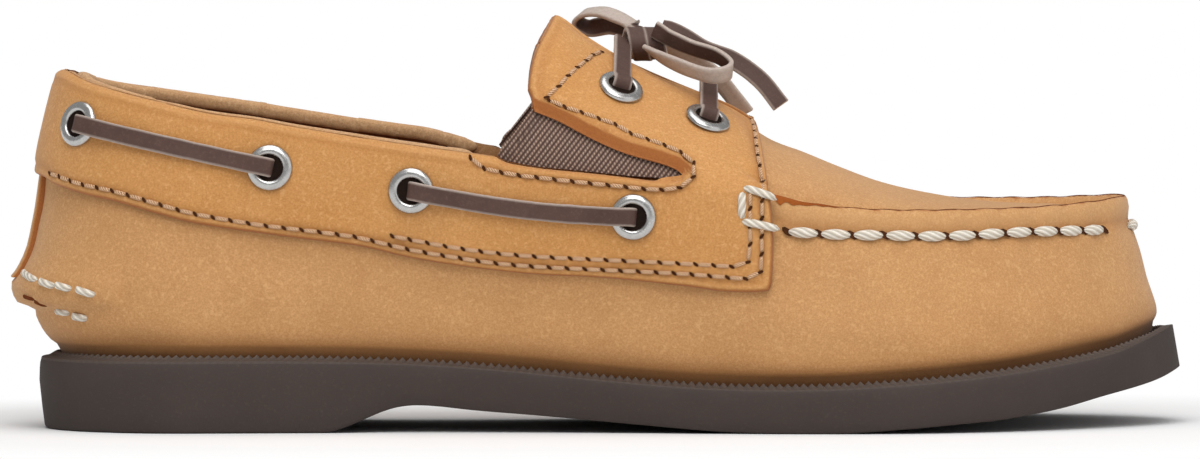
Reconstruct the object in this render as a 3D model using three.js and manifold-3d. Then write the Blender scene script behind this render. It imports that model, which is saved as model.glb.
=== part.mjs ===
// A right boat shoe: moulded sole, hollow leather upper, saddle, gores, eyelets and rawhide lace.
// Millimetres. +X runs to the toe, the outer side of the foot is at -Y, +Z is up.
// The origin is the centre of the flat spot under the heel.

import * as THREE from 'three';
import { mergeVertices } from 'three/addons/utils/BufferGeometryUtils.js';
import Module from 'manifold-3d';

const wasm = await Module();
wasm.setup();
const { Manifold, Mesh: SolidMesh } = wasm;

// Driving sizes of the sole
const SOLE_LENGTH = 250;
const BALL_WIDTH = 90;
const HEEL_WIDTH = 64;
const HEEL_HEIGHT = 15.6;
const HEEL_SEAT_BACK = 30;
const LEDGE_WIDTH = 4.6;
const LEDGE_RISE = 1.5;
const SOLE_DRAFT = 1.1;
const TOE_SWING = 8;

// Driving sizes of the upper
const COLLAR_HEIGHT = 79;
const INSTEP_HEIGHT = 90;
const LEATHER_WALL = 2;
const OVERLAY_THICKNESS = 1.8;
const RIDGE_RISE = 4.9;
const RIDGE_WIDTH = 4;
const TONGUE_HALF_WIDTH = 15;
const THROAT_HALF_GAP = 6.5;
const GORE_THICKNESS = 1.4;
const PAD_THICKNESS = 3.6;
const PAD_DEPTH = 9;
const INSOLE_THICKNESS = 2.6;
const KICKER_REACH = 4.2;
const KICKER_HEIGHT = 7;
const PAD_SINK = 1;
const BACKSTAY_WIDTH = 9;
const BACKSTAY_THICKNESS = 1.2;

// Driving sizes of the eyelets and the lace
const EYELET_DIAMETER = 10.1;
const EYELET_HOLE = 5.5;
const EYELET_THICKNESS = 1.1;
const EYELET_BARREL_WALL = 0.5;
const LACE_WIDTH = 4.1;
const LACE_THICKNESS = 1.1;

// Clearances
const SEAT_GAP = 0.3;
const OVERLAY_GAP = 0.45;
const EYELET_LIFT = 0.7;
const LACE_LIFT = 0.7;
const FORM_DROP = 9;

// Roundness of the instep's arch: 2 is an ellipse, 1 a gable
const ARCH_POWER = 1.6;

// How finely the forms are cut
const HALF_STEPS = 28;
const KICKER_STEPS = 4;
const EYELET_SIDES = 10;
const REACH = 400;
const HOLE_REACH = 16;

// Shares: the sole side's widest height, the heel ridge's place on its wall, the toe's rounding over
// the ball width, and the backstay's foot and top over the collar height
const SOLE_WIDEST = 0.68;
const KICKER_LEVEL = 0.62;
const TOE_ROUNDING = 0.66;
const BACKSTAY_FOOT = 0.49;
const BACKSTAY_TOP = 0.7;

// The throat along the sole: where it starts, where the tongue's slot and the flaps' gap end, how far
// its middle swings with the toe, and its foot over the collar height
const THROAT_REAR = 0.4;
const TONGUE_FRONT = 0.6;
const THROAT_FRONT = 0.66;
const THROAT_SWING = 0.3;
const THROAT_FOOT = 0.7;

// Places outside the shoe that cuts reach to: along the sole, and over the collar height
const BEHIND_HEEL = -0.1;
const ABOVE_ALL = 1.7;

// Shares along the sole, from the heel's back edge, and what is measured there. The half width is
// heel times half the heel width plus ball times half the ball width. swing: share of the toe swing.
const SOLE_PLAN = [
  { along: 0.0, heel: 0.98, ball: 0, swing: 0 },
  { along: 0.12, heel: 1.0, ball: 0, swing: 0 },
  { along: 0.25, heel: 0.97, ball: 0, swing: -0.08 },
  { along: 0.38, heel: 0.7, ball: 0.18, swing: -0.3 },
  { along: 0.5, heel: 0.35, ball: 0.49, swing: -0.4 },
  { along: 0.6, heel: 0.12, ball: 0.765, swing: -0.3 },
  { along: 0.68, heel: 0, ball: 0.95, swing: -0.1 },
  { along: 0.76, heel: 0, ball: 1.0, swing: 0.15 },
  { along: 0.86, heel: 0, ball: 1.0, swing: 0.55 },
  { along: 1.0, heel: 0, ball: 0.94, swing: 1 },
];

// Height of the sole's upper edge as a share of the heel height.
const SOLE_TOP = [
  { along: 0.0, rise: 0.99 },
  { along: 0.14, rise: 1.0 },
  { along: 0.24, rise: 0.995 },
  { along: 0.32, rise: 0.96 },
  { along: 0.4, rise: 0.88 },
  { along: 0.49, rise: 0.74 },
  { along: 0.58, rise: 0.63 },
  { along: 0.67, rise: 0.61 },
  { along: 0.75, rise: 0.67 },
  { along: 0.84, rise: 0.8 },
  { along: 0.93, rise: 1.02 },
  { along: 0.965, rise: 1.18 },
  { along: 1.0, rise: 1.4 },
];

// Underside of the sole: flat heel, breast, arch, flat forefoot and toe spring.
const SOLE_UNDERSIDE = [
  { along: -0.05, rise: 0 },
  { along: 0.248, rise: 0 },
  { along: 0.31, rise: 0.34 },
  { along: 0.335, rise: 0.385 },
  { along: 0.385, rise: 0.31 },
  { along: 0.44, rise: 0.24 },
  { along: 0.49, rise: 0.17 },
  { along: 0.54, rise: 0.1 },
  { along: 0.59, rise: 0.035 },
  { along: 0.645, rise: 0 },
  { along: 0.695, rise: 0 },
  { along: 0.755, rise: 0.06 },
  { along: 0.8, rise: 0.12 },
  { along: 0.84, rise: 0.175 },
  { along: 0.89, rise: 0.3 },
  { along: 0.93, rise: 0.455 },
  { along: 0.963, rise: 0.59 },
  { along: 0.982, rise: 0.71 },
  { along: 1.0, rise: 0.9 },
  { along: 1.05, rise: 1.3 },
];

// Shoulder of the upper: just above the collar rim, then the gore's lower edge, then the seam of the
// vamp. height: share of the collar height. half: share of the sole's half width at that place.
const SHOULDER = [
  { along: 0.0, height: 1.015, half: 0.73 },
  { along: 0.045, height: 0.99, half: 0.74 },
  { along: 0.1, height: 0.95, half: 0.755 },
  { along: 0.185, height: 0.9, half: 0.815 },
  { along: 0.3, height: 0.835, half: 0.92 },
  { along: 0.38, height: 0.79, half: 0.985 },
  { along: 0.49, height: 0.725, half: 0.985 },
  { along: 0.565, height: 0.675, half: 0.94 },
  { along: 0.62, height: 0.62, half: 0.905 },
  { along: 0.66, height: 0.578, half: 0.877 },
  { along: 0.72, height: 0.555, half: 0.858 },
  { along: 0.8, height: 0.549, half: 0.837 },
  { along: 0.89, height: 0.553, half: 0.812 },
  { along: 0.96, height: 0.57, half: 0.8 },
];

// Crown of the last along its middle, as a share of the instep height.
const CROWN = [
  { along: 0.0, height: 0.93 },
  { along: 0.2, height: 0.97 },
  { along: 0.4, height: 1.0 },
  { along: 0.45, height: 0.987 },
  { along: 0.475, height: 0.942 },
  { along: 0.5, height: 0.902 },
  { along: 0.54, height: 0.845 },
  { along: 0.58, height: 0.797 },
  { along: 0.605, height: 0.763 },
  { along: 0.64, height: 0.697 },
  { along: 0.67, height: 0.664 },
  { along: 0.7, height: 0.629 },
  { along: 0.735, height: 0.592 },
  { along: 0.77, height: 0.567 },
  { along: 0.82, height: 0.543 },
  { along: 0.88, height: 0.532 },
  { along: 0.96, height: 0.537 },
];

// Rings of the wall from the feather edge to the shoulder. up: share of the way up. lean: share of
// the way in plan. bulge, heel and toe: millimetres of swell, and of reach past the sole's two ends.
const WALL_RINGS = [
  { up: 0.0, lean: 0.0, bulge: 0.0, heel: -4.9, toe: -5.3 },
  { up: 0.1, lean: 0.0, bulge: 1.3, heel: -1.3, toe: -4.8 },
  { up: 0.28, lean: 0.12, bulge: 1.9, heel: 1.6, toe: -5.6 },
  { up: 0.5, lean: 0.4, bulge: 1.9, heel: -0.4, toe: -7.1 },
  { up: 0.76, lean: 0.74, bulge: 1.2, heel: -2.9, toe: -8.9 },
  { up: 1.0, lean: 1.0, bulge: 0.0, heel: -6.4, toe: -10.4 },
];

// The raised seam round the plug: share of its width inwards from the shoulder, share of its rise.
const RIDGE_RINGS = [
  { inward: 0.16, rise: 0.8 },
  { inward: 0.5, rise: 1.0 },
  { inward: 1.0, rise: 0.6 },
];

// Rings over the crown. half: share of the shoulder's half width. heel and toe: reach past the ends.
const CROWN_RINGS = [
  { half: 0.74, heel: -12, toe: -13 },
  { half: 0.48, heel: -20, toe: -25 },
  { half: 0.22, heel: -28, toe: -37 },
  { half: 0.0, heel: -34, toe: -46 },
];

// Side view of the collar's rim and of the rear edge of the saddle's tab.
const RIM = [
  { along: 0.0, height: 1.0 },
  { along: 0.02, height: 0.996 },
  { along: 0.044, height: 0.966 },
  { along: 0.1, height: 0.922 },
  { along: 0.15, height: 0.886 },
  { along: 0.19, height: 0.868 },
  { along: 0.23, height: 0.844 },
  { along: 0.3, height: 0.808 },
  { along: 0.345, height: 0.787 },
  { along: 0.4, height: 0.763 },
];
const TAB_REAR = [
  { along: 0.4, height: 0.763 },
  { along: 0.432, height: 0.9 },
  { along: 0.429, height: 0.955 },
  { along: 0.434, height: 1.04 },
  { along: 0.443, height: 1.1 },
  { along: 0.455, height: 1.165 },
];
const GORE_OUTLINE = [
  { along: 0.433, height: 0.898 },
  { along: 0.459, height: 0.864 },
  { along: 0.487, height: 0.818 },
  { along: 0.516, height: 0.779 },
  { along: 0.548, height: 0.75 },
  { along: 0.562, height: 0.729 },
  { along: 0.563, height: 0.706 },
  { along: 0.544, height: 0.696 },
  { along: 0.512, height: 0.707 },
  { along: 0.476, height: 0.719 },
  { along: 0.44, height: 0.73 },
  { along: 0.41, height: 0.746 },
];
const SADDLE_LOWER = [
  { along: -0.04, height: 0.775 },
  { along: 0.001, height: 0.735 },
  { along: 0.01, height: 0.703 },
  { along: 0.038, height: 0.67 },
  { along: 0.068, height: 0.647 },
  { along: 0.101, height: 0.614 },
  { along: 0.134, height: 0.584 },
  { along: 0.168, height: 0.565 },
  { along: 0.23, height: 0.537 },
  { along: 0.283, height: 0.514 },
  { along: 0.322, height: 0.484 },
  { along: 0.362, height: 0.462 },
  { along: 0.4, height: 0.446 },
  { along: 0.44, height: 0.434 },
  { along: 0.492, height: 0.427 },
  { along: 0.562, height: 0.406 },
  { along: 0.597, height: 0.392 },
  { along: 0.634, height: 0.393 },
  { along: 0.64, height: 0.42 },
  { along: 0.642, height: 0.562 },
  { along: 0.638, height: 0.73 },
  { along: 0.635, height: 0.8 },
  { along: 0.626, height: 0.87 },
  { along: 0.6, height: 0.935 },
  { along: 0.57, height: 1.0 },
  { along: 0.5, height: 1.25 },
];

// Section of the heel's ridge. out: share of its reach. sunk: share of the leather's thickness that it
// is let in. up: share of its height.
const KICKER_SECTION = [
  { out: 0, sunk: 0.5, up: -0.6 },
  { out: 0.15, sunk: 0, up: -0.5 },
  { out: 1, sunk: 0, up: -0.12 },
  { out: 0.95, sunk: 0, up: 0.3 },
  { out: 0.2, sunk: 0, up: 0.6 },
  { out: 0, sunk: 0.5, up: 0.8 },
];

// Eyelets of one side in the side view. collar: share of the collar height. crown: share of the crown's
// height at that place. The two add up.
const EYELETS = [
  { name: '1', along: 0.0376, collar: 0.848, crown: 0 },
  { name: '2', along: 0.2044, collar: 0.732, crown: 0 },
  { name: '3', along: 0.3275, collar: 0.669, crown: 0 },
  { name: '4', along: 0.5205, collar: 0.597, crown: 0 },
  { name: '5', along: 0.5855, collar: 0, crown: 0.9532 },
  { name: '6', along: 0.51, collar: 0, crown: 0.9350 },
];

// Value of one column at a share along the sole, by a smooth monotone-looking spline.
function column(table, key) {
  const knots = table.map((row) => new THREE.Vector2(row.along, row[key]));
  return (along) => {
    const last = knots.length - 1;
    if (along <= knots[0].x) return knots[0].y;
    if (along >= knots[last].x) return knots[last].y;
    let i = 0;
    while (knots[i + 1].x < along) i += 1;
    const before = knots[Math.max(i - 1, 0)];
    const after = knots[Math.min(i + 2, last)];
    const a = knots[i];
    const b = knots[i + 1];
    const span = b.x - a.x;
    const t = (along - a.x) / span;
    const slopeA = ((b.y - before.y) / (b.x - before.x)) * span;
    const slopeB = ((after.y - a.y) / (after.x - a.x)) * span;
    const t2 = t * t;
    const t3 = t2 * t;
    return (2 * t3 - 3 * t2 + 1) * a.y + (t3 - 2 * t2 + t) * slopeA
      + (3 * t2 - 2 * t3) * b.y + (t3 - t2) * slopeB;
  };
}

const heelPart = column(SOLE_PLAN, 'heel');
const ballPart = column(SOLE_PLAN, 'ball');
const soleSwing = column(SOLE_PLAN, 'swing');
const soleTop = column(SOLE_TOP, 'rise');
const shoulderHeight = column(SHOULDER, 'height');
const shoulderHalf = column(SHOULDER, 'half');
const crownHeight = column(CROWN, 'height');

// Places along the sole in the part's own frame.
const HEEL_X = -HEEL_SEAT_BACK;
const TOE_X = HEEL_X + SOLE_LENGTH;
const HEEL_ROUND = HEEL_WIDTH / 2;
const TOE_ROUND = BALL_WIDTH * TOE_ROUNDING;
const xAt = (along) => HEEL_X + along * SOLE_LENGTH;
const alongAt = (x) => (x - HEEL_X) / SOLE_LENGTH;
const swingAt = (x) => TOE_SWING * soleSwing(alongAt(x));
const soleHalfAt = (x) => (heelPart(alongAt(x)) * HEEL_WIDTH + ballPart(alongAt(x)) * BALL_WIDTH) / 2;
const soleTopAt = (x) => HEEL_HEIGHT * soleTop(alongAt(x));
const ledgeAt = (x) => soleTopAt(x) + LEDGE_RISE;
const featherAt = (x) => ledgeAt(x) + SEAT_GAP;
const shoulderAt = (x) => COLLAR_HEIGHT * shoulderHeight(alongAt(x));
const shoulderHalfAt = (x) => soleHalfAt(x) * shoulderHalf(alongAt(x));
const crownAt = (x) => INSTEP_HEIGHT * crownHeight(alongAt(x));
const sidePoint = (row) => new THREE.Vector2(xAt(row.along), COLLAR_HEIGHT * row.height);
const eyeletPoint = (row) => {
  const x = xAt(row.along);
  return new THREE.Vector2(x, COLLAR_HEIGHT * row.collar + crownAt(x) * row.crown);
};

function smoothStep(from, to, value) {
  const t = THREE.MathUtils.clamp((value - from) / (to - from), 0, 1);
  return t * t * (3 - 2 * t);
}

// Half width with both ends of the ring rounded off in plan.
function roundedEnds(x, heelX, toeX, half) {
  const back = THREE.MathUtils.clamp(1 - (x - heelX) / HEEL_ROUND, 0, 1);
  const front = THREE.MathUtils.clamp(1 - (toeX - x) / TOE_ROUND, 0, 1);
  return half * Math.sqrt(1 - back * back) * Math.sqrt(1 - front * front);
}

// A closed ring: the outer side from heel to toe, then the inner side back to the heel.
function ring(heelX, toeX, halfAt, heightAt) {
  const points = [];
  for (let j = 0; j < 2 * HALF_STEPS; j += 1) {
    const i = j <= HALF_STEPS ? j : 2 * HALF_STEPS - j;
    const side = j <= HALF_STEPS ? -1 : 1;
    const share = (1 - Math.cos((Math.PI * i) / HALF_STEPS)) / 2;
    const x = heelX + (toeX - heelX) * share;
    const half = i === 0 || i === HALF_STEPS ? 0 : halfAt(x);
    points.push(new THREE.Vector3(x, swingAt(x) + side * half, heightAt(x, half)));
  }
  return points;
}

// Turns a list of corners and triangles into a closed solid.
function solidFrom(points, faces) {
  const geometry = new THREE.BufferGeometry();
  geometry.setAttribute('position', new THREE.Float32BufferAttribute(points.flatMap((p) => p.toArray()), 3));
  geometry.setIndex(faces.flat());
  return toSolid(geometry);
}

function toSolid(source) {
  const geometry = source.clone();
  geometry.deleteAttribute('normal');
  geometry.deleteAttribute('uv');
  const merged = mergeVertices(geometry, 1e-4);
  const vertProperties = new Float32Array(merged.attributes.position.array);
  const triVerts = new Uint32Array(merged.index.array);
  return new Manifold(new SolidMesh({ numProp: 3, vertProperties, triVerts }));
}

// Skins rings one above the other. The lowest ring is closed across the foot, and so is the highest
// one unless its two sides already meet in a line.
function skin(rings, topClosed) {
  const count = rings[0].length;
  const faces = [];
  const at = (k, j) => k * count + (j % count);
  for (let k = 0; k + 1 < rings.length; k += 1) {
    for (let j = 0; j < count; j += 1) {
      faces.push([at(k, j), at(k, j + 1), at(k + 1, j + 1)], [at(k, j), at(k + 1, j + 1), at(k + 1, j)]);
    }
  }
  const across = (k, up) => {
    const half = count / 2;
    for (let j = 0; j < half; j += 1) {
      const outer = at(k, j);
      const outerNext = at(k, j + 1);
      const inner = at(k, count - j);
      const innerNext = at(k, count - j - 1);
      if (j > 0) faces.push(up ? [outer, innerNext, inner] : [outer, inner, innerNext]);
      if (j + 1 < half) faces.push(up ? [outer, outerNext, innerNext] : [outer, innerNext, outerNext]);
    }
  };
  across(0, false);
  if (topClosed) across(rings.length - 1, true);
  return solidFrom(rings.flat(), faces);
}

// A flat outline in the side view, pushed through the shoe from one side to the other.
function sidePrism(outline, yFrom = -REACH / 2, yTo = REACH / 2) {
  const shape = new THREE.Shape(outline);
  const geometry = new THREE.ExtrudeGeometry(shape, { depth: yTo - yFrom, bevelEnabled: false });
  geometry.rotateX(Math.PI / 2);
  geometry.translate(0, yTo, 0);
  return toSolid(geometry);
}

function box(lo, hi) {
  const size = new THREE.Vector3().subVectors(hi, lo);
  const geometry = new THREE.BoxGeometry(size.x, size.y, size.z);
  geometry.translate(lo.x + size.x / 2, lo.y + size.y / 2, lo.z + size.z / 2);
  return toSolid(geometry);
}

// Moves the corners of an outline inwards by a distance.
function shrunk(outline, distance) {
  const turn = THREE.ShapeUtils.isClockWise(outline) ? -1 : 1;
  return outline.map((point, i) => {
    const before = outline[(i + outline.length - 1) % outline.length];
    const after = outline[(i + 1) % outline.length];
    const edgeIn = new THREE.Vector2().subVectors(point, before).normalize();
    const edgeOut = new THREE.Vector2().subVectors(after, point).normalize();
    const normal = new THREE.Vector2(-(edgeIn.y + edgeOut.y), edgeIn.x + edgeOut.x).normalize();
    const spread = Math.max(0.5, Math.abs(normal.dot(new THREE.Vector2(-edgeIn.y, edgeIn.x))));
    return point.clone().addScaledVector(normal, (turn * distance) / spread);
  });
}

// How much of the raised seam stands up at a place: none under the saddle, all of it on the vamp.
const ridgeShare = (x) => smoothStep(xAt(0.6), xAt(0.65), x);

// Height of the crown over the shoulder: a full arch at the instep, a flat one over the toes.
function crownHeightAt(x, half) {
  const flat = ridgeShare(x);
  const base = shoulderAt(x) + RIDGE_FOOT * RIDGE_RISE * flat;
  const widest = Math.max(roundedEnds(x, SHOULDER_HEEL, SHOULDER_TOE, shoulderHalfAt(x)), 0.001);
  const share = THREE.MathUtils.clamp(half / widest, 0, 1);
  const arch = (1 - share ** (ARCH_POWER + flat * 0.4)) ** (1 / (ARCH_POWER - flat * 0.6));
  return base + (crownAt(x) - base) * arch;
}

// The ends of the shoulder ring, and how high the raised seam stands where it meets the plug.
const SHOULDER_HEEL = HEEL_X - WALL_RINGS[WALL_RINGS.length - 1].heel;
const SHOULDER_TOE = TOE_X + WALL_RINGS[WALL_RINGS.length - 1].toe;
const RIDGE_FOOT = RIDGE_RINGS[RIDGE_RINGS.length - 1].rise;

// The rings of the last, from the feather edge up over the raised seam to the middle of the crown.
function lastRings(ridged) {
  const rings = WALL_RINGS.map((row) => {
    const heelX = HEEL_X - row.heel;
    const toeX = TOE_X + row.toe;
    const halfAt = (x) => {
      const feather = soleHalfAt(x) - LEDGE_WIDTH - SEAT_GAP;
      const half = feather + (shoulderHalfAt(x) - feather) * row.lean + row.bulge;
      return roundedEnds(x, heelX, toeX, half);
    };
    return ring(heelX, toeX, halfAt, (x) => featherAt(x) + (shoulderAt(x) - featherAt(x)) * row.up);
  });
  const seam = rings[rings.length - 1];
  RIDGE_RINGS.forEach((row) => {
    rings.push(seam.map((point, j) => {
      const before = seam[(j + seam.length - 1) % seam.length];
      const after = seam[(j + 1) % seam.length];
      const along = new THREE.Vector2(after.x - before.x, after.y - before.y).normalize();
      const x = point.x - along.y * RIDGE_WIDTH * row.inward;
      const y = point.y + along.x * RIDGE_WIDTH * row.inward;
      const half = Math.abs(y - swingAt(x));
      const flat = ridgeShare(x);
      const rise = RIDGE_RISE * (ridged ? row.rise : RIDGE_FOOT * row.inward);
      const height = (shoulderAt(x) + rise) * flat + crownHeightAt(x, half) * (1 - flat);
      return new THREE.Vector3(x, y, height);
    }));
  });
  CROWN_RINGS.forEach((row) => {
    const heelX = SHOULDER_HEEL - row.heel;
    const toeX = SHOULDER_TOE + row.toe;
    const widthAt = (x) => {
      const share = (x - heelX) / (toeX - heelX);
      const seamX = SHOULDER_HEEL + (SHOULDER_TOE - SHOULDER_HEEL) * share;
      return row.half * roundedEnds(seamX, SHOULDER_HEEL, SHOULDER_TOE, shoulderHalfAt(seamX));
    };
    rings.push(ring(heelX, toeX, widthAt, crownHeightAt));
  });
  return rings;
}

// Outward directions at every corner of the rings. The two sides share one along the crown's middle.
function outwards(rings) {
  const count = rings[0].length;
  const last = rings.length - 1;
  const normals = rings.map((points, k) => points.map((point, j) => {
    const along = new THREE.Vector3().subVectors(points[(j + 1) % count], points[(j + count - 1) % count]);
    const above = rings[Math.min(k + 1, last)][j];
    const below = rings[Math.max(k - 1, 0)][j];
    const upwards = new THREE.Vector3().subVectors(above, below);
    return along.cross(upwards).normalize();
  }));
  normals[last] = normals[last].map((normal, j) => {
    const other = normals[last][(count - j) % count];
    return new THREE.Vector3(normal.x + other.x, 0, normal.z + other.z).normalize();
  });
  return normals;
}

// The last grown or shrunk by a distance. dropped: its underside is carried down through the sole.
function form(distance, { ridged = true, dropped = false } = {}) {
  const rings = lastRings(ridged);
  const normals = outwards(rings);
  const grown = (k, j) => rings[k][j].clone().addScaledVector(normals[k][j], distance);
  const moved = rings.map((points, k) => points.map((_, j) => grown(k, j)));
  if (dropped) moved.unshift(moved[0].map((p) => new THREE.Vector3(p.x, p.y, p.z - FORM_DROP)));
  return skin(moved, false);
}

// Point and outward direction on one side of a grown last, given its place in the side view.
const plainRings = lastRings(true);
const plainNormals = outwards(plainRings);
function onSurface(x, z, side, distance) {
  const count = 2 * HALF_STEPS;
  const flip = (j) => (side < 0 ? j : (count - j) % count);
  const grown = (k, j) => plainRings[k][flip(j)].clone().addScaledVector(plainNormals[k][flip(j)], distance);
  const target = new THREE.Vector3(x, z, 0);
  let found = null;
  for (let k = 0; k + 1 < plainRings.length; k += 1) {
    for (let j = 0; j < HALF_STEPS; j += 1) {
      const cell = [[k, j], [k, j + 1], [k + 1, j + 1], [k + 1, j]];
      [[0, 1, 2], [0, 2, 3]].forEach((corners) => {
        const picks = corners.map((i) => cell[i]);
        const points = picks.map(([a, b]) => grown(a, b));
        const flat = points.map((p) => new THREE.Vector3(p.x, p.z, 0));
        const weights = THREE.Triangle.getBarycoord(target, ...flat, new THREE.Vector3());
        if (weights && Math.min(weights.x, weights.y, weights.z) > -1e-6) {
          const share = weights.toArray();
          const point = new THREE.Vector3();
          const normal = new THREE.Vector3();
          picks.forEach(([a, b], i) => {
            point.addScaledVector(points[i], share[i]);
            normal.addScaledVector(plainNormals[a][flip(b)], share[i]);
          });
          const further = !found || Math.abs(point.y) > Math.abs(found.point.y);
          if (further) found = { point, normal: normal.normalize() };
        }
      });
    }
  }
  return found;
}

const sideHalf = (side) => box(
  new THREE.Vector3(-REACH, side < 0 ? -REACH : 0, -REACH),
  new THREE.Vector3(REACH, side < 0 ? 0 : REACH, REACH),
);

const group = new THREE.Group();
const LEATHER = { color: 0xc4935f, roughness: 0.75, metalness: 0 };
const SADDLE_LEATHER = { color: 0xc8914f, roughness: 0.7, metalness: 0 };
const PAD_LEATHER = { color: 0xb98551, roughness: 0.7, metalness: 0 };
const RUBBER = { color: 0x50453f, roughness: 0.8, metalness: 0 };
const WEBBING = { color: 0x6d554b, roughness: 0.95, metalness: 0 };
const BOARD = { color: 0x8a6a4a, roughness: 0.8, metalness: 0 };
const NICKEL = { color: 0xd8d8d6, roughness: 0.25, metalness: 1 };
const RAWHIDE = { color: 0x654a40, roughness: 0.65, metalness: 0 };

function addMesh(name, finish, solid) {
  const shape = solid.getMesh();
  const geometry = new THREE.BufferGeometry();
  geometry.setAttribute('position', new THREE.BufferAttribute(shape.vertProperties, 3));
  geometry.setIndex(new THREE.BufferAttribute(shape.triVerts, 1));
  geometry.computeVertexNormals();
  const mesh = new THREE.Mesh(geometry, new THREE.MeshStandardMaterial(finish));
  mesh.name = name;
  group.add(mesh);
}

// Outsole: rings drafted towards the ground, a lip that slopes up to the feather edge, and the
// underside cut to the heel, breast, arch and toe spring.
function outsole() {
  const level = (inset, heightAt) => {
    const heelX = HEEL_X + inset;
    const toeX = TOE_X - inset;
    return ring(heelX, toeX, (x) => roundedEnds(x, heelX, toeX, soleHalfAt(x) - inset), heightAt);
  };
  const rings = [
    level(SOLE_DRAFT, () => -FORM_DROP),
    level(SOLE_DRAFT, () => 0),
    level(0, (x) => soleTopAt(x) * SOLE_WIDEST),
    level(SOLE_DRAFT / 2, soleTopAt),
    level(LEDGE_WIDTH, ledgeAt),
  ];
  const outline = SOLE_UNDERSIDE.map((row) => new THREE.Vector2(xAt(row.along), HEEL_HEIGHT * row.rise));
  outline.push(new THREE.Vector2(xAt(1.05), COLLAR_HEIGHT), new THREE.Vector2(xAt(-0.05), COLLAR_HEIGHT));
  return skin(rings, true).intersect(sidePrism(outline));
}

// Insole: a board inside the feather edge.
function insole() {
  const inset = LEDGE_WIDTH + LEATHER_WALL + 3 * SEAT_GAP;
  const level = (rise) => {
    const heelX = HEEL_X + inset;
    const toeX = TOE_X - inset;
    const halfAt = (x) => roundedEnds(x, heelX, toeX, soleHalfAt(x) - inset);
    return ring(heelX, toeX, halfAt, (x) => ledgeAt(x) + rise);
  };
  return skin([level(SEAT_GAP), level(SEAT_GAP + INSOLE_THICKNESS)], true);
}

// The pinched ridge round the back of the heel, thickest at its middle and gone at its ends.
function kicker() {
  const lower = plainRings[1];
  const upper = plainRings[2];
  const count = 2 * HALF_STEPS;
  const points = [];
  const faces = [];
  for (let i = -KICKER_STEPS; i <= KICKER_STEPS; i += 1) {
    const j = (i + count) % count;
    const base = lower[j].clone().lerp(upper[j], KICKER_LEVEL);
    const normal = plainNormals[1][j].clone().lerp(plainNormals[2][j], KICKER_LEVEL).setZ(0).normalize();
    const fade = Math.cos((Math.PI / 2) * (i / (KICKER_STEPS + 0.5)));
    const rise = KICKER_HEIGHT * (0.5 + 0.5 * fade);
    KICKER_SECTION.forEach((row) => {
      const reach = KICKER_REACH * row.out * fade - LEATHER_WALL * row.sunk;
      points.push(base.clone().addScaledVector(normal, reach).add(new THREE.Vector3(0, 0, rise * row.up)));
    });
  }
  const sides = KICKER_SECTION.length;
  const rows = 2 * KICKER_STEPS + 1;
  for (let i = 0; i + 1 < rows; i += 1) {
    for (let k = 0; k < sides; k += 1) {
      const next = (k + 1) % sides;
      faces.push([i * sides + k, (i + 1) * sides + k, (i + 1) * sides + next]);
      faces.push([i * sides + k, (i + 1) * sides + next, i * sides + next]);
    }
  }
  for (let k = 1; k + 1 < sides; k += 1) {
    faces.push([0, k, k + 1], [(rows - 1) * sides, (rows - 1) * sides + k + 1, (rows - 1) * sides + k]);
  }
  return solidFrom(points, faces);
}

// Outlines in the side view, shared by the pieces that meet along them.
const collarCut = [
  new THREE.Vector2(xAt(BEHIND_HEEL), COLLAR_HEIGHT),
  ...RIM.map(sidePoint),
  ...TAB_REAR.slice(1).map(sidePoint),
  new THREE.Vector2(xAt(TAB_REAR[TAB_REAR.length - 1].along), COLLAR_HEIGHT * ABOVE_ALL),
  new THREE.Vector2(xAt(BEHIND_HEEL), COLLAR_HEIGHT * ABOVE_ALL),
];
const goreOutline = GORE_OUTLINE.map(sidePoint);
const saddleOutline = [
  ...SADDLE_LOWER.map(sidePoint),
  new THREE.Vector2(xAt(SADDLE_LOWER[0].along), COLLAR_HEIGHT * ABOVE_ALL),
];
const padBand = (top, bottom) => [
  new THREE.Vector2(xAt(BEHIND_HEEL), COLLAR_HEIGHT - top),
  ...RIM.slice(0, -1).map(sidePoint).map((p) => p.setY(p.y - top)),
  ...RIM.slice(0, -1).map(sidePoint).map((p) => p.setY(p.y - bottom)).reverse(),
  new THREE.Vector2(xAt(BEHIND_HEEL), COLLAR_HEIGHT - bottom),
];
const throatMiddle = -TOE_SWING * THROAT_SWING;
const throatBox = (half, frontX) => box(
  new THREE.Vector3(xAt(THROAT_REAR), throatMiddle - half, COLLAR_HEIGHT * THROAT_FOOT),
  new THREE.Vector3(frontX, throatMiddle + half, REACH),
);

const collarTool = sidePrism(collarCut);
const outerForm = form(0);
const innerForm = form(-LEATHER_WALL, { ridged: false, dropped: true });
const overlayTop = OVERLAY_GAP + OVERLAY_THICKNESS;
const overlaySeat = form(OVERLAY_GAP, { dropped: true });
const overlayForm = form(overlayTop, { dropped: true });
const wall = outerForm.subtract(innerForm).subtract(collarTool);

const eyelets = EYELETS.flatMap((row) => [-1, 1].map((side) => {
  const spot = eyeletPoint(row);
  const { point, normal } = onSurface(spot.x, spot.y, side, overlayTop);
  return { name: `eyelet_${side < 0 ? 'lateral' : 'medial'}_${row.name}`, point, normal };
}));
const upTurn = (normal) => new THREE.Quaternion().setFromUnitVectors(new THREE.Vector3(0, 1, 0), normal);

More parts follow.
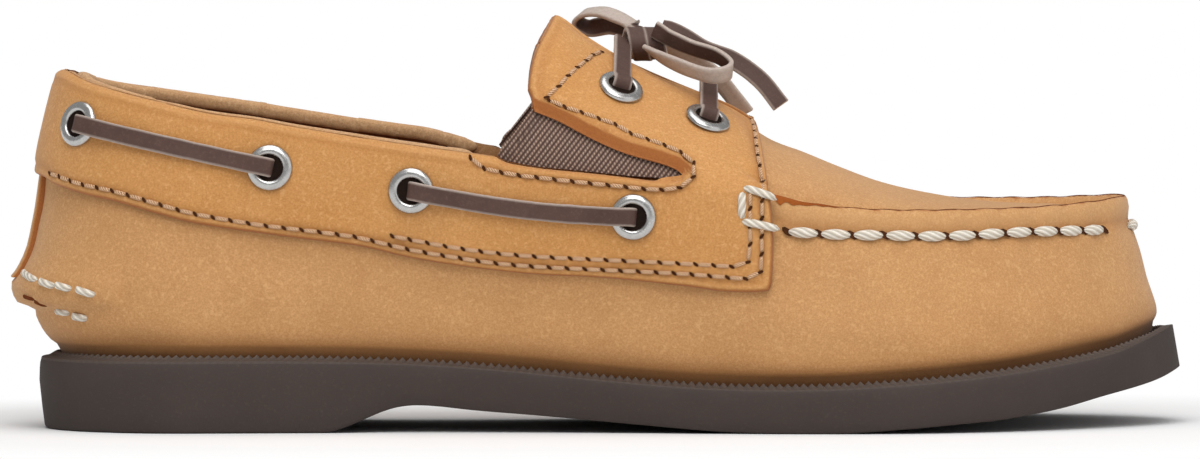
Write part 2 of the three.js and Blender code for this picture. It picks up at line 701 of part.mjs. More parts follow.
// The ring of an eyelet: a domed flange on the leather and a barrel through it.
function eyelet(spot) {
  const hole = EYELET_HOLE / 2;
  const barrel = hole + EYELET_BARREL_WALL;
  const rim = EYELET_DIAMETER / 2;
  const through = overlayTop + LEATHER_WALL;
  const profile = [
    [hole, -through], [barrel, -through], [barrel, EYELET_LIFT], [rim, EYELET_LIFT],
    [rim - 0.3, EYELET_LIFT + 0.6 * EYELET_THICKNESS], [(rim + hole) / 2, EYELET_LIFT + EYELET_THICKNESS],
    [hole, EYELET_LIFT], [hole, -through],
  ].map(([r, z]) => new THREE.Vector2(r, z));
  const geometry = new THREE.LatheGeometry(profile, EYELET_SIDES);
  geometry.applyQuaternion(upTurn(spot.normal));
  geometry.translate(...spot.point.toArray());
  return toSolid(geometry);
}

const holeTools = eyelets.map((spot) => {
  const radius = EYELET_HOLE / 2 + EYELET_BARREL_WALL + SEAT_GAP;
  const geometry = new THREE.CylinderGeometry(radius, radius, HOLE_REACH, EYELET_SIDES);
  geometry.applyQuaternion(upTurn(spot.normal));
  geometry.translate(...spot.point.toArray());
  return toSolid(geometry);
});
const holed = (solid) => holeTools.reduce((rest, tool) => rest.subtract(tool), solid);

const goreHole = sidePrism(goreOutline);
const tongueSlot = throatBox(TONGUE_HALF_WIDTH, xAt(TONGUE_FRONT));
const tongueStrip = throatBox(TONGUE_HALF_WIDTH - SEAT_GAP, xAt(TONGUE_FRONT) - SEAT_GAP);
addMesh('outsole', RUBBER, outsole());
addMesh('insole', BOARD, insole());
addMesh('upper', LEATHER, holed(wall.subtract(goreHole).subtract(tongueSlot)).add(kicker()));
addMesh('tongue', LEATHER, holed(wall.intersect(tongueStrip)));
const overlay = overlayForm.subtract(overlaySeat).subtract(collarTool).intersect(sidePrism(saddleOutline))
  .subtract(goreHole).subtract(throatBox(THROAT_HALF_GAP, xAt(THROAT_FRONT)));
addMesh('saddle', SADDLE_LEATHER, holed(overlay));

const goreLayer = form(-SEAT_GAP).subtract(form(-SEAT_GAP - GORE_THICKNESS, { ridged: false, dropped: true }))
  .subtract(collarTool).intersect(sidePrism(shrunk(goreOutline, SEAT_GAP)));
[['gore_lateral', -1], ['gore_medial', 1]].forEach(([name, side]) => {
  addMesh(name, WEBBING, goreLayer.intersect(sideHalf(side)));
});

const padLayer = form(-LEATHER_WALL - SEAT_GAP, { ridged: false, dropped: true })
  .subtract(form(-LEATHER_WALL - SEAT_GAP - PAD_THICKNESS, { ridged: false, dropped: true }));
addMesh('collar_pad', PAD_LEATHER, padLayer.intersect(sidePrism(padBand(PAD_SINK, PAD_SINK + PAD_DEPTH))));

const strip = form(OVERLAY_GAP + BACKSTAY_THICKNESS, { dropped: true }).subtract(overlaySeat);
addMesh('backstay', LEATHER, strip.intersect(box(
  new THREE.Vector3(xAt(BEHIND_HEEL), -BACKSTAY_WIDTH / 2, COLLAR_HEIGHT * BACKSTAY_FOOT),
  new THREE.Vector3(xAt(-BEHIND_HEEL), BACKSTAY_WIDTH / 2, COLLAR_HEIGHT * BACKSTAY_TOP),
)));

eyelets.forEach((spot) => addMesh(spot.name, NICKEL, eyelet(spot)));

// Lace bars lie over the eyelets. The side ones run from eyelet to eyelet under the collar, and the
// instep ones cross the throat from one side to the other.
const laceLevel = overlayTop + EYELET_LIFT + EYELET_THICKNESS + LACE_LIFT;
const laceLayer = form(laceLevel + LACE_THICKNESS, { dropped: true })
  .subtract(form(laceLevel, { dropped: true }));

function sideBar(first, second) {
  const from = eyeletPoint(EYELETS[first]);
  const to = eyeletPoint(EYELETS[second]);
  const across = new THREE.Vector2(from.y - to.y, to.x - from.x).setLength(LACE_WIDTH / 2);
  return sidePrism([
    from.clone().sub(across), to.clone().sub(across), to.clone().add(across), from.clone().add(across),
  ]);
}

const rearBar = laceLayer.intersect(sideBar(0, 1));
const frontBar = laceLayer.intersect(sideBar(2, 3));
[['lateral', -1], ['medial', 1]].forEach(([name, side]) => {
  addMesh(`lace_bar_${name}_rear`, RAWHIDE, rearBar.intersect(sideHalf(side)));
  addMesh(`lace_bar_${name}_front`, RAWHIDE, frontBar.intersect(sideHalf(side)));
});
[['lace_bar_instep_rear', 5], ['lace_bar_instep_front', 4]].forEach(([name, index]) => {
  const spot = eyeletPoint(EYELETS[index]);
  addMesh(name, RAWHIDE, laceLayer.intersect(box(
    new THREE.Vector3(spot.x - LACE_WIDTH / 2, -REACH, spot.y - LACE_WIDTH / 2),
    new THREE.Vector3(spot.x + LACE_WIDTH / 2, REACH, REACH),
  )));
});

// The bow: a knot over the crown in front of the rear bar, two loops and two cut ends. along: share of
// the sole. over: height over the crown. Points are taken from the knot's middle.
const KNOT = { along: 0.5316, across: -1.4, over: 6.53, half: [3.2, 5, 3.2] };
const BOW = [
  {
    name: 'lace_loop_lateral',
    steps: 18,
    points: [
      [0.6, -6.6, -1.1], [3.6, -10, -2.7], [9.1, -14.1, -5], [14.1, -16.8, -6.4], [17.7, -16.2, -6],
      [18.5, -13.6, -4.6], [15.7, -10.8, -2.4], [10.1, -8.6, -0.6], [5.1, -7.2, 1.6],
      [2, -6.2, 3.4],
    ],
  },
  {
    name: 'lace_loop_medial',
    steps: 14,
    points: [
      [-0.9, 4.8, 2.7], [-4.9, 8.4, 5], [-9.3, 11.4, 6.6], [-13.3, 14.4, 6.2], [-14.7, 16.6, 4.4],
      [-12.3, 16.4, 3], [-7.3, 13.4, 3.6], [-2.3, 8, 2.5],
    ],
  },
  {
    name: 'lace_end_lateral',
    steps: 10,
    points: [
      [3.7, -0.3, 3.6], [5.5, -0.8, 3.2], [8.5, -1.6, 1.6], [13.1, -3, -1.2], [19.1, -5, -3.4],
      [25.1, -7.4, -7.7], [29.6, -9.4, -13.2],
    ],
  },
  {
    name: 'lace_end_medial',
    steps: 8,
    points: [
      [2.3, 4.6, 0.8], [6.1, 9.4, -1], [11.1, 13.4, -4], [16.1, 17.4, -8.4], [22.1, 21.6, -16],
    ],
  },
];
const knotMiddle = new THREE.Vector3(xAt(KNOT.along), KNOT.across, crownAt(xAt(KNOT.along)) + KNOT.over);
const knot = new THREE.SphereGeometry(1, 10, 7);
knot.scale(...KNOT.half);
knot.translate(...knotMiddle.toArray());
addMesh('lace_knot', RAWHIDE, toSolid(knot));

BOW.forEach((row) => {
  const half = LACE_WIDTH / 2;
  const edge = LACE_THICKNESS / 2;
  const section = [
    [half, -edge / 2], [half, edge / 2], [half * 0.8, edge], [-half * 0.8, edge],
    [-half, edge / 2], [-half, -edge / 2], [-half * 0.8, -edge], [half * 0.8, -edge],
  ].map(([x, y]) => new THREE.Vector2(x, y));
  const path = new THREE.CatmullRomCurve3(row.points.map((p) => new THREE.Vector3(...p).add(knotMiddle)));
  const tube = new THREE.ExtrudeGeometry(new THREE.Shape(section), { extrudePath: path, steps: row.steps });
  addMesh(row.name, RAWHIDE, toSolid(tube));
});

export default group;
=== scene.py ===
"""Dresses the right boat shoe: fine surfaces of sole and upper, leather, seams, webbing, eyelets and lace.

Sizes are in millimetres and meshes are written in metres. +X runs to the toe, the outer side is at -Y.
"""
import logging
import math
from collections.abc import Callable, Sequence
from dataclasses import dataclass, field
from enum import Enum
from typing import Protocol

import bpy
import numpy as np
from mathutils import Matrix, Vector


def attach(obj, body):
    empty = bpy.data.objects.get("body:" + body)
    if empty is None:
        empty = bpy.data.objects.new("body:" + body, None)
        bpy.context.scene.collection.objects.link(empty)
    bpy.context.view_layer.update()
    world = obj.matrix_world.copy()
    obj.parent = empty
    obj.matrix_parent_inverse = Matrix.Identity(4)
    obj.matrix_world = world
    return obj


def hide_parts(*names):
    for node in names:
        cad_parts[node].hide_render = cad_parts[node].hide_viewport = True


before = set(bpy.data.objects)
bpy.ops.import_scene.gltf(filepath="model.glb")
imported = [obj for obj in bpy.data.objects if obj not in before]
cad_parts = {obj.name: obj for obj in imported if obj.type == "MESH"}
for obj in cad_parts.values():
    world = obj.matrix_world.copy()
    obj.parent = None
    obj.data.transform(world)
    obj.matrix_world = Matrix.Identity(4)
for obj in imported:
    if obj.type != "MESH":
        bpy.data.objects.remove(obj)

log = logging.getLogger("boat_shoe")
Array = np.ndarray
Distance = Callable[[Array, Array], Array]
MM = 0.001
BODY = "root"


class Side(Enum):
    """The two sides of the shoe, as the sign of Y."""

    LATERAL = -1
    MEDIAL = 1


class Slot(Enum):
    """The record's material slots."""

    SOLE = "sole_rubber"
    SOCK = "sock_board"
    LEATHER = "leather"
    SADDLE = "saddle_leather"
    LINING = "collar_lining"
    ELASTIC = "elastic"
    NICKEL = "nickel"
    RAWHIDE = "rawhide"


# Section tables of the last: shares along the sole and of the named sizes
SOLE_PLAN = np.array([
    # along, heel, ball, swing
    (0.0, 0.98, 0.0, 0.0), (0.12, 1.0, 0.0, 0.0), (0.25, 0.97, 0.0, -0.08), (0.38, 0.7, 0.18, -0.3),
    (0.5, 0.35, 0.49, -0.4), (0.6, 0.12, 0.765, -0.3), (0.68, 0.0, 0.95, -0.1), (0.76, 0.0, 1.0, 0.15),
    (0.86, 0.0, 1.0, 0.55), (1.0, 0.0, 0.94, 1.0),
])
SOLE_TOP = np.array([
    # along, rise
    (0.0, 0.99), (0.14, 1.0), (0.24, 0.995), (0.32, 0.96), (0.4, 0.88), (0.49, 0.74), (0.58, 0.63),
    (0.67, 0.61), (0.75, 0.67), (0.84, 0.8), (0.93, 1.02), (0.965, 1.18), (1.0, 1.4),
])
SOLE_UNDERSIDE = np.array([
    # along, rise
    (-0.05, 0.0), (0.248, 0.0), (0.31, 0.34), (0.335, 0.385), (0.385, 0.31), (0.44, 0.24), (0.49, 0.17),
    (0.54, 0.1), (0.59, 0.035), (0.645, 0.0), (0.695, 0.0), (0.755, 0.06), (0.8, 0.12), (0.84, 0.175),
    (0.89, 0.3), (0.93, 0.455), (0.963, 0.58), (0.982, 0.67), (1.0, 0.79), (1.05, 1.1),
])
SHOULDER = np.array([
    # along, height, half
    (0.0, 1.015, 0.73), (0.045, 0.99, 0.74), (0.1, 0.95, 0.755), (0.185, 0.9, 0.815), (0.3, 0.835, 0.92),
    (0.38, 0.79, 0.985), (0.49, 0.725, 0.985), (0.565, 0.675, 0.94), (0.62, 0.62, 0.905),
    (0.66, 0.578, 0.877), (0.72, 0.555, 0.858), (0.8, 0.549, 0.837), (0.89, 0.553, 0.812), (0.96, 0.57, 0.8),
])
CROWN = np.array([
    # along, height
    (0.0, 0.93), (0.2, 0.97), (0.4, 1.005), (0.45, 0.999), (0.475, 0.948), (0.5, 0.902), (0.54, 0.845),
    (0.58, 0.797), (0.605, 0.763), (0.64, 0.697), (0.67, 0.664), (0.7, 0.629), (0.735, 0.592),
    (0.77, 0.567), (0.82, 0.543), (0.88, 0.532), (0.96, 0.537),
])
WALL_RINGS = np.array([
    # up, lean, bulge, heel, toe
    (0.0, 0.0, 0.0, -4.9, -5.3), (0.1, 0.0, 1.3, -1.3, -4.8), (0.28, 0.12, 1.9, 1.6, -5.6),
    (0.5, 0.4, 1.9, -0.4, -7.1), (0.76, 0.74, 1.2, -2.9, -8.9), (1.0, 1.0, 0.0, -6.4, -10.4),
])
RIDGE_RINGS = np.array([(0.0, 0.0), (0.16, 0.8), (0.5, 1.0), (1.0, 0.6)])  # inward, rise
RIDGE_CREST = 1.44  # level of the raised seam's top
CROWN_RINGS = np.array([
    # half, heel, toe
    (0.74, -12.0, -13.0), (0.48, -20.0, -25.0), (0.22, -28.0, -37.0), (0.0, -34.0, -46.0),
])

# Outlines in the side view: along the sole, height as a share of the collar
RIM = np.array([
    (0.0, 1.0), (0.02, 0.996), (0.044, 0.966), (0.1, 0.922), (0.15, 0.886), (0.19, 0.868), (0.23, 0.844),
    (0.3, 0.808), (0.345, 0.787), (0.4, 0.763),
])
TAB_REAR = np.array([(0.4, 0.763), (0.432, 0.9), (0.429, 0.955), (0.434, 1.04), (0.443, 1.1), (0.455, 1.165)])
GORE_OUTLINE = np.array([
    (0.433, 0.898), (0.459, 0.864), (0.487, 0.818), (0.516, 0.779), (0.548, 0.75), (0.562, 0.729),
    (0.563, 0.706), (0.544, 0.696), (0.512, 0.707), (0.476, 0.719), (0.44, 0.73), (0.41, 0.746),
])
SADDLE_LOWER = np.array([
    (-0.04, 0.71), (0.001, 0.7), (0.01, 0.684), (0.038, 0.659), (0.068, 0.64), (0.101, 0.611),
    (0.134, 0.584), (0.168, 0.565), (0.23, 0.537), (0.283, 0.514), (0.322, 0.484), (0.362, 0.462),
    (0.4, 0.446), (0.44, 0.434), (0.492, 0.427), (0.562, 0.406), (0.597, 0.392), (0.634, 0.393),
    (0.64, 0.42), (0.642, 0.562), (0.638, 0.73), (0.635, 0.8), (0.626, 0.87), (0.6, 0.935), (0.57, 1.0),
    (0.5, 1.25),
])
EYELETS = np.array([
    (0.0376, 0.848), (0.2044, 0.732), (0.3275, 0.669), (0.5205, 0.597), (0.5855, 0.858), (0.51, 0.945),
])

# Sewn lines in the side view, in millimetres
OUTER_ROW = np.array([
    # x, z
    (-27.2, 56.1), (-24.5, 55.4), (-20.6, 54.1), (-13.0, 52.7), (-4.7, 50.4), (3.6, 48.1), (12.1, 46.5),
    (20.4, 45.2), (27.4, 44.4), (36.2, 43.3), (40.7, 42.6), (50.6, 40.2), (60.4, 38.5), (70.0, 37.1),
    (79.8, 36.3), (92.9, 35.7), (110.4, 34.9), (119.1, 34.2), (125.2, 33.8), (127.3, 34.5),
    (127.9, 37.1), (128.0, 44.7), (128.1, 54.4), (127.2, 60.3), (126.4, 66.2), (125.0, 68.8),
    (123.9, 70.0), (122.0, 70.8), (120.7, 71.8),
])
INNER_ROW = np.array([
    # x, z
    (47.7, 43.0), (50.6, 42.4), (60.4, 40.6), (70.0, 39.3), (79.8, 38.5), (92.9, 37.9), (110.4, 37.1),
    (117.6, 36.7), (123.1, 36.4), (124.8, 37.1), (125.4, 39.8), (125.5, 45.2), (125.5, 52.9),
])
GORE_ROW = np.array([
    # x, z
    (64.8, 60.1), (66.7, 58.1), (73.5, 56.5), (80.9, 55.6), (89.0, 54.7), (97.9, 53.8), (105.0, 53.1),
    (110.4, 53.6), (113.0, 55.6), (114.1, 57.4), (112.6, 59.6), (110.4, 61.2), (106.9, 62.7),
    (99.7, 65.2), (96.2, 67.2), (92.5, 68.5), (88.6, 69.9), (84.6, 71.2), (81.8, 72.5),
])
FLAP_ROW = np.array([
    # x, z
    (81.4, 73.0), (83.8, 75.1), (85.9, 77.4), (87.7, 79.0), (89.9, 80.5), (91.6, 81.9), (93.4, 82.3),
])
MOC_ROW = np.array([
    # x, z
    (133.5, 43.9), (140.1, 43.4), (147.1, 43.1), (154.7, 43.0), (161.9, 42.7), (168.9, 42.6),
    (176.5, 42.8), (183.8, 43.1), (189.9, 43.1), (195.5, 43.0), (201.2, 42.9), (205.6, 43.0),
    (209.1, 43.2),
])
MOC_PITCH = 7.2  # from one stitch of that row to the next
BOX_STITCHES = np.array([
    # x, z, x, z
    (123.7, 53.7, 131.4, 51.1), (123.8, 52.9, 123.7, 46.5), (123.3, 46.4, 132.0, 44.5),
])
HEEL_STITCHES = np.array([
    # x, z, x, z
    (-33.7, 34.5, -30.0, 32.8), (-29.6, 33.0, -26.1, 31.8), (-26.1, 32.3, -22.4, 31.3),
    (-21.7, 31.5, -17.1, 30.0), (-26.3, 26.3, -22.8, 25.9), (-22.6, 25.4, -18.9, 24.7),
])
NUB_TEAR = np.array([
    # x, z, x, z
    (-33.4, 29.4, -30.4, 28.6), (-30.9, 28.5, -27.6, 27.2),
])

# The bow, as in the source: the knot's centre and half sizes, and the routes of its cords
KNOT = ((102.9, -1.4, 83.6), (3.2, 5.0, 3.2))
BOW_ROUTES = {
    "lace_loop_lateral": (
        (103.5, -8.0, 82.5), (106.5, -11.4, 80.9), (112.0, -15.5, 78.6), (117.0, -18.2, 77.2),
        (120.6, -17.6, 77.6), (121.4, -15.0, 79.0), (118.6, -12.2, 81.2), (113.0, -10.0, 83.0),
        (108.0, -8.6, 85.2), (104.9, -7.6, 87.0),
    ),
    "lace_loop_medial": (
        (102.0, 3.4, 86.3), (98.0, 7.0, 88.6), (93.6, 10.0, 90.2), (89.6, 13.0, 89.8), (88.2, 15.2, 88.0),
        (90.6, 15.0, 86.6), (95.6, 12.0, 87.2), (100.6, 6.6, 86.1),
    ),
    "lace_end_lateral": (
        (106.6, -1.7, 87.2), (108.4, -2.2, 86.8), (111.4, -3.0, 85.2), (116.0, -4.4, 82.4),
        (122.0, -6.4, 80.2), (128.0, -8.8, 75.9), (132.5, -10.8, 70.4),
    ),
    "lace_end_medial": (
        (105.2, 3.2, 84.4), (109.0, 8.0, 82.6), (114.0, 12.0, 79.6), (119.0, 16.0, 75.2), (125.0, 20.2, 67.6),
    ),
}


def spline(table: Array, column: int) -> Callable[[Array], Array]:
    """Smooth curve through one column of a table.

    Formula: between two knots a cubic Hermite blend, with the slope at a knot taken over its neighbours.

    Args:
        table: rows sorted by their first column.
        column: which column to follow.

    Returns:
        A function from places to values.
    """
    x, y = table[:, 0], table[:, column]
    left, right = np.r_[0, np.arange(len(x) - 1)], np.r_[np.arange(1, len(x)), len(x) - 1]
    slope = (y[right] - y[left]) / (x[right] - x[left])

    def value(place: Array) -> Array:
        """The curve's value at each place."""
        p = np.clip(np.asarray(place, float), x[0], x[-1])
        i = np.clip(np.searchsorted(x, p, side="right") - 1, 0, len(x) - 2)
        span = x[i + 1] - x[i]
        t = (p - x[i]) / span
        return ((2 * t**3 - 3 * t**2 + 1) * y[i] + (t**3 - 2 * t**2 + t) * span * slope[i]
                + (3 * t**2 - 2 * t**3) * y[i + 1] + (t**3 - t**2) * span * slope[i + 1])

    return value


def smooth_step(low: float, high: float, value: Array) -> Array:
    """Goes smoothly from 0 at low to 1 at high."""
    t = np.clip((np.asarray(value, float) - low) / (high - low), 0, 1)
    return t * t * (3 - 2 * t)


def unit(vectors: Array) -> Array:
    """Vectors scaled to length one."""
    return vectors / np.maximum(np.linalg.norm(vectors, axis=-1, keepdims=True), 1e-9)


def noise(points: Array, scale: float, seed: int) -> Array:
    """Soft random field, mostly between -1 and 1.

    Formula: the sum of nine sine waves of random direction and phase over half their number, each with a
    wavelength near scale.

    Args:
        points: places, last axis x, y, z.
        scale: wavelength in the same unit.
        seed: seed of the random numbers.

    Returns:
        One value for each place.
    """
    rng = np.random.default_rng(seed)
    turns = unit(rng.normal(size=(9, 3))) * (2 * math.pi / (scale * rng.uniform(0.7, 1.5, size=(9, 1))))
    phases = rng.uniform(0, 2 * math.pi, 9)
    return np.sin(points @ turns.T + phases).sum(axis=-1) / 4.5


@dataclass(frozen=True)
class Sizes:
    """The driving sizes of the shoe, in millimetres."""

    sole_length: float = 250.0
    ball_width: float = 90.0
    heel_width: float = 64.0
    heel_height: float = 15.6
    heel_seat_back: float = 30.0
    ledge_width: float = 4.6
    ledge_rise: float = 1.5
    toe_swing: float = 8.0
    collar_height: float = 79.0
    instep_height: float = 90.0
    leather_wall: float = 2.0
    overlay_thickness: float = 1.8
    overlay_gap: float = 0.45
    ridge_rise: float = 4.9
    ridge_width: float = 4.0
    tongue_half_width: float = 15.0
    throat_half_gap: float = 6.5
    seat_gap: float = 0.3
    arch_power: float = 1.6

    @property
    def overlay_top(self) -> float:
        """Height of the saddle's face over the upper."""
        return self.overlay_gap + self.overlay_thickness

    @property
    def toe_round(self) -> float:
        """Length over which the toe is rounded in plan."""
        return 0.66 * self.ball_width


class Last:
    """The last as a surface over two parameters: turn round the foot and level up the wall.

    turn is 0 at the middle of the heel, 1 and -1 at the toe, negative on the outer side. level runs from
    0 at the feather edge to 1 at the shoulder, 2 at the inner foot of the raised seam and 3 at the crown.
    """

    COLUMNS = 960
    WALL_ROWS, RIDGE_ROWS, CROWN_ROWS = 110, 40, 90

    def __init__(self, sizes: Sizes) -> None:
        """Works the surface out on a fine grid.

        Args:
            sizes: the shoe's driving sizes.
        """
        self.sizes = sizes
        self.heel_x = -sizes.heel_seat_back
        self.toe_x = self.heel_x + sizes.sole_length
        self.heel_part, self.ball_part, self.swing_part = (spline(SOLE_PLAN, c) for c in (1, 2, 3))
        self.top_part = spline(SOLE_TOP, 1)
        self.shoulder_part, self.half_part = spline(SHOULDER, 1), spline(SHOULDER, 2)
        self.crown_part = spline(CROWN, 1)
        self.shoulder_heel = self.heel_x - WALL_RINGS[-1, 3]
        self.shoulder_toe = self.toe_x + WALL_RINGS[-1, 4]
        self.points = self._grid()
        self.normals = self._outwards(self.points)

    def along(self, x: Array) -> Array:
        """Share of the sole's length at x."""
        return (np.asarray(x) - self.heel_x) / self.sizes.sole_length

    def x_at(self, along: Array) -> Array:
        """Place along X of a share of the sole's length."""
        return self.heel_x + np.asarray(along) * self.sizes.sole_length

    def side_view(self, table: Array) -> Array:
        """Side view places, x and z, of rows of along and height."""
        return np.stack([self.x_at(table[:, 0]), table[:, 1] * self.sizes.collar_height], axis=-1)

    def swing(self, x: Array) -> Array:
        """Where the middle of the foot lies across, at x."""
        return self.sizes.toe_swing * self.swing_part(self.along(x))

    def sole_half(self, x: Array) -> Array:
        """Half width of the sole before its ends are rounded."""
        a = self.along(x)
        return (self.heel_part(a) * self.sizes.heel_width + self.ball_part(a) * self.sizes.ball_width) / 2

    def sole_top(self, x: Array) -> Array:
        """Height of the sole's upper edge."""
        return self.sizes.heel_height * self.top_part(self.along(x))

    def feather(self, x: Array) -> Array:
        """Height at which the upper meets the sole."""
        return self.sole_top(x) + self.sizes.ledge_rise + self.sizes.seat_gap

    def shoulder(self, x: Array) -> Array:
        """Height of the shoulder: collar, gore foot and vamp seam."""
        return self.sizes.collar_height * self.shoulder_part(self.along(x))

    def shoulder_half(self, x: Array) -> Array:
        """Half width of the shoulder."""
        return self.sole_half(x) * self.half_part(self.along(x))

    def shoulder_plan(self, x: Array) -> Array:
        """Half width of the shoulder with its ends rounded."""
        return self.rounded(x, self.shoulder_heel, self.shoulder_toe, self.shoulder_half(x))

    def crown(self, x: Array) -> Array:
        """Height of the crown."""
        return self.sizes.instep_height * self.crown_part(self.along(x))

    def ridge_share(self, x: Array) -> Array:
        """How much of the raised seam stands at x."""
        return smooth_step(self.x_at(0.6), self.x_at(0.65), x)

    def rounded(self, x: Array, heel: float, toe: float, half: Array) -> Array:
        """Half width with both ends of a ring rounded.

        Formula: half times the height of a quarter circle over the heel's and the toe's round lengths.

        Args:
            x: places.
            heel: the ring's heel end.
            toe: the ring's toe end.
            half: half width without rounding.

        Returns:
            The rounded half width.
        """
        back = np.clip(1 - (x - heel) / (self.sizes.heel_width / 2), 0, 1)
        front = np.clip(1 - (toe - x) / self.sizes.toe_round, 0, 1)
        return half * np.sqrt(1 - back**2) * np.sqrt(1 - front**2)

    def ring(self, heel: float, toe: float, half_at: Callable[[Array], Array]) -> Array:
        """Plan of one ring, x and y, from the heel along the outer side to the toe and back.

        Args:
            heel: the ring's heel end.
            toe: the ring's toe end.
            half_at: half width at a place.

        Returns:
            COLUMNS rows of x and y.
        """
        j = np.arange(self.COLUMNS)
        i = np.minimum(j, self.COLUMNS - j)
        x = heel + (toe - heel) * (1 - np.cos(np.pi * i / (self.COLUMNS / 2))) / 2
        side = np.where(j <= self.COLUMNS // 2, -1.0, 1.0)
        half = np.where((i == 0) | (i == self.COLUMNS // 2), 0.0, half_at(x))
        return np.stack([x, self.swing(x) + side * half], axis=-1)

    def crown_height(self, x: Array, half: Array) -> Array:
        """Height of the crown's arch at a distance from the middle.

        Formula: base plus the rise times (1 - share^p)^(1/q), a full arch at the instep, flat over the toes.

        Args:
            x: places along.
            half: distances from the middle.

        Returns:
            The heights.
        """
        flat = self.ridge_share(x)
        base = self.shoulder(x) + RIDGE_RINGS[-1, 1] * self.sizes.ridge_rise * flat
        share = np.clip(half / np.maximum(self.shoulder_plan(x), 1e-3), 0, 1)
        power = self.sizes.arch_power
        arch = (1 - share ** (power + 0.4 * flat)) ** (1 / (power - 0.6 * flat))
        return base + (self.crown(x) - base) * arch

    def _grid(self) -> Array:
        """The surface's points: wall rows, then the raised seam, then the crown.

        Returns:
            Rows by columns by x, y, z.
        """
        s = self.sizes
        rows = []
        lean, bulge, heel, toe = (spline(WALL_RINGS, c) for c in (1, 2, 3, 4))
        for up in np.linspace(0, 1, self.WALL_ROWS):
            h, t = self.heel_x - float(heel(up)), self.toe_x + float(toe(up))

            def half_at(x: Array, h: float = h, t: float = t, up: float = up) -> Array:
                """Half width of this row of the wall."""
                foot = self.sole_half(x) - s.ledge_width - s.seat_gap
                return self.rounded(x, h, t, foot + (self.shoulder_half(x) - foot) * lean(up) + bulge(up))

            plan = self.ring(h, t, half_at)
            low = self.feather(plan[:, 0])
            rows.append(np.c_[plan, low + (self.shoulder(plan[:, 0]) - low) * up])
        seam = rows[-1][:, :2]
        tangent = unit(np.roll(seam, -1, axis=0) - np.roll(seam, 1, axis=0))
        inward = np.stack([-tangent[:, 1], tangent[:, 0]], axis=-1)
        rise = spline(RIDGE_RINGS, 1)
        for share in np.linspace(0, 1, self.RIDGE_ROWS + 1)[1:]:
            plan = seam + inward * s.ridge_width * share
            flat = self.ridge_share(plan[:, 0])
            half = np.abs(plan[:, 1] - self.swing(plan[:, 0]))
            ridge = self.shoulder(plan[:, 0]) + s.ridge_rise * rise(share)
            rows.append(np.c_[plan, ridge * flat + self.crown_height(plan[:, 0], half) * (1 - flat)])
        foot = rows[-1]
        stops = [foot[:, :2]]
        for half_share, heel_in, toe_in in CROWN_RINGS:
            h, t = self.shoulder_heel - heel_in, self.shoulder_toe + toe_in

            def crown_half(x: Array, h: float = h, t: float = t, part: float = half_share) -> Array:
                """Half width of this ring of the crown."""
                seam_x = self.shoulder_heel + (self.shoulder_toe - self.shoulder_heel) * (x - h) / (t - h)
                return part * self.shoulder_plan(seam_x)

            stops.append(self.ring(h, t, crown_half))
        knots = np.arange(len(stops), dtype=float)
        places = np.linspace(0, knots[-1], self.CROWN_ROWS + 1)[1:]
        flat_stops = np.array(stops).reshape(len(stops), -1)
        plans = np.stack([spline(np.c_[knots, stop], 1)(places) for stop in flat_stops.T], -1)
        for place, plan in zip(places, plans.reshape(len(places), -1, 2)):
            half = np.abs(plan[:, 1] - self.swing(plan[:, 0]))
            height = self.crown_height(plan[:, 0], half)
            blend = smooth_step(0, 0.8, place)
            edge = self.crown_height(foot[:, 0], np.abs(foot[:, 1] - self.swing(foot[:, 0])))
            rows.append(np.c_[plan, height + (foot[:, 2] - edge) * (1 - blend)])
        rows[-1][:, 1] = self.swing(rows[-1][:, 0])
        return np.array(rows)

    @staticmethod
    def _outwards(points: Array) -> Array:
        """Outward directions of the grid, shared by both sides along the crown."""
        round_foot = np.roll(points, -1, axis=1) - np.roll(points, 1, axis=1)
        upwards = np.gradient(points, axis=0)
        normals = unit(np.cross(round_foot, upwards))
        last = normals[-1]
        mirrored = np.roll(last[::-1], 1, axis=0)
        normals[-1] = unit((last + mirrored) * np.array([1.0, 0.0, 1.0]))
        return normals

    def rows_at(self, level: Array) -> Array:
        """Row number, with its fraction, of each level."""
        level = np.clip(np.asarray(level, float), 0, 3)
        wall = level * (self.WALL_ROWS - 1)
        ridge = self.WALL_ROWS - 1 + (level - 1) * self.RIDGE_ROWS
        crown = self.WALL_ROWS - 1 + self.RIDGE_ROWS + (level - 2) * self.CROWN_ROWS
        return np.where(level <= 1, wall, np.where(level <= 2, ridge, crown))

    def sample(self, turn: Array, level: Array) -> tuple[Array, Array]:
        """Points and outward directions by bilinear blend of the grid.

        Args:
            turn: turns round the foot.
            level: levels up the wall.

        Returns:
            Points and directions, with the shape of turn and three columns.
        """
        column = np.mod(-np.asarray(turn, float), 2) * self.COLUMNS / 2
        row = self.rows_at(level)
        i = np.clip(row.astype(int), 0, len(self.points) - 2)
        j = column.astype(int) % self.COLUMNS
        k = (j + 1) % self.COLUMNS
        a, b = (row - i)[..., None], (column - np.floor(column))[..., None]

        def blend(grid: Array) -> Array:
            """One grid read at the places."""
            return ((grid[i, j] * (1 - b) + grid[i, k] * b) * (1 - a)
                    + (grid[i + 1, j] * (1 - b) + grid[i + 1, k] * b) * a)

        return blend(self.points), unit(blend(self.normals))

    def raised(self, turn: Array, level: Array, lift: float | Array = 0.0) -> Array:
        """Points lifted off the last along its outward directions."""
        points, normals = self.sample(turn, level)
        return points + normals * np.asarray(lift, float)[..., None]

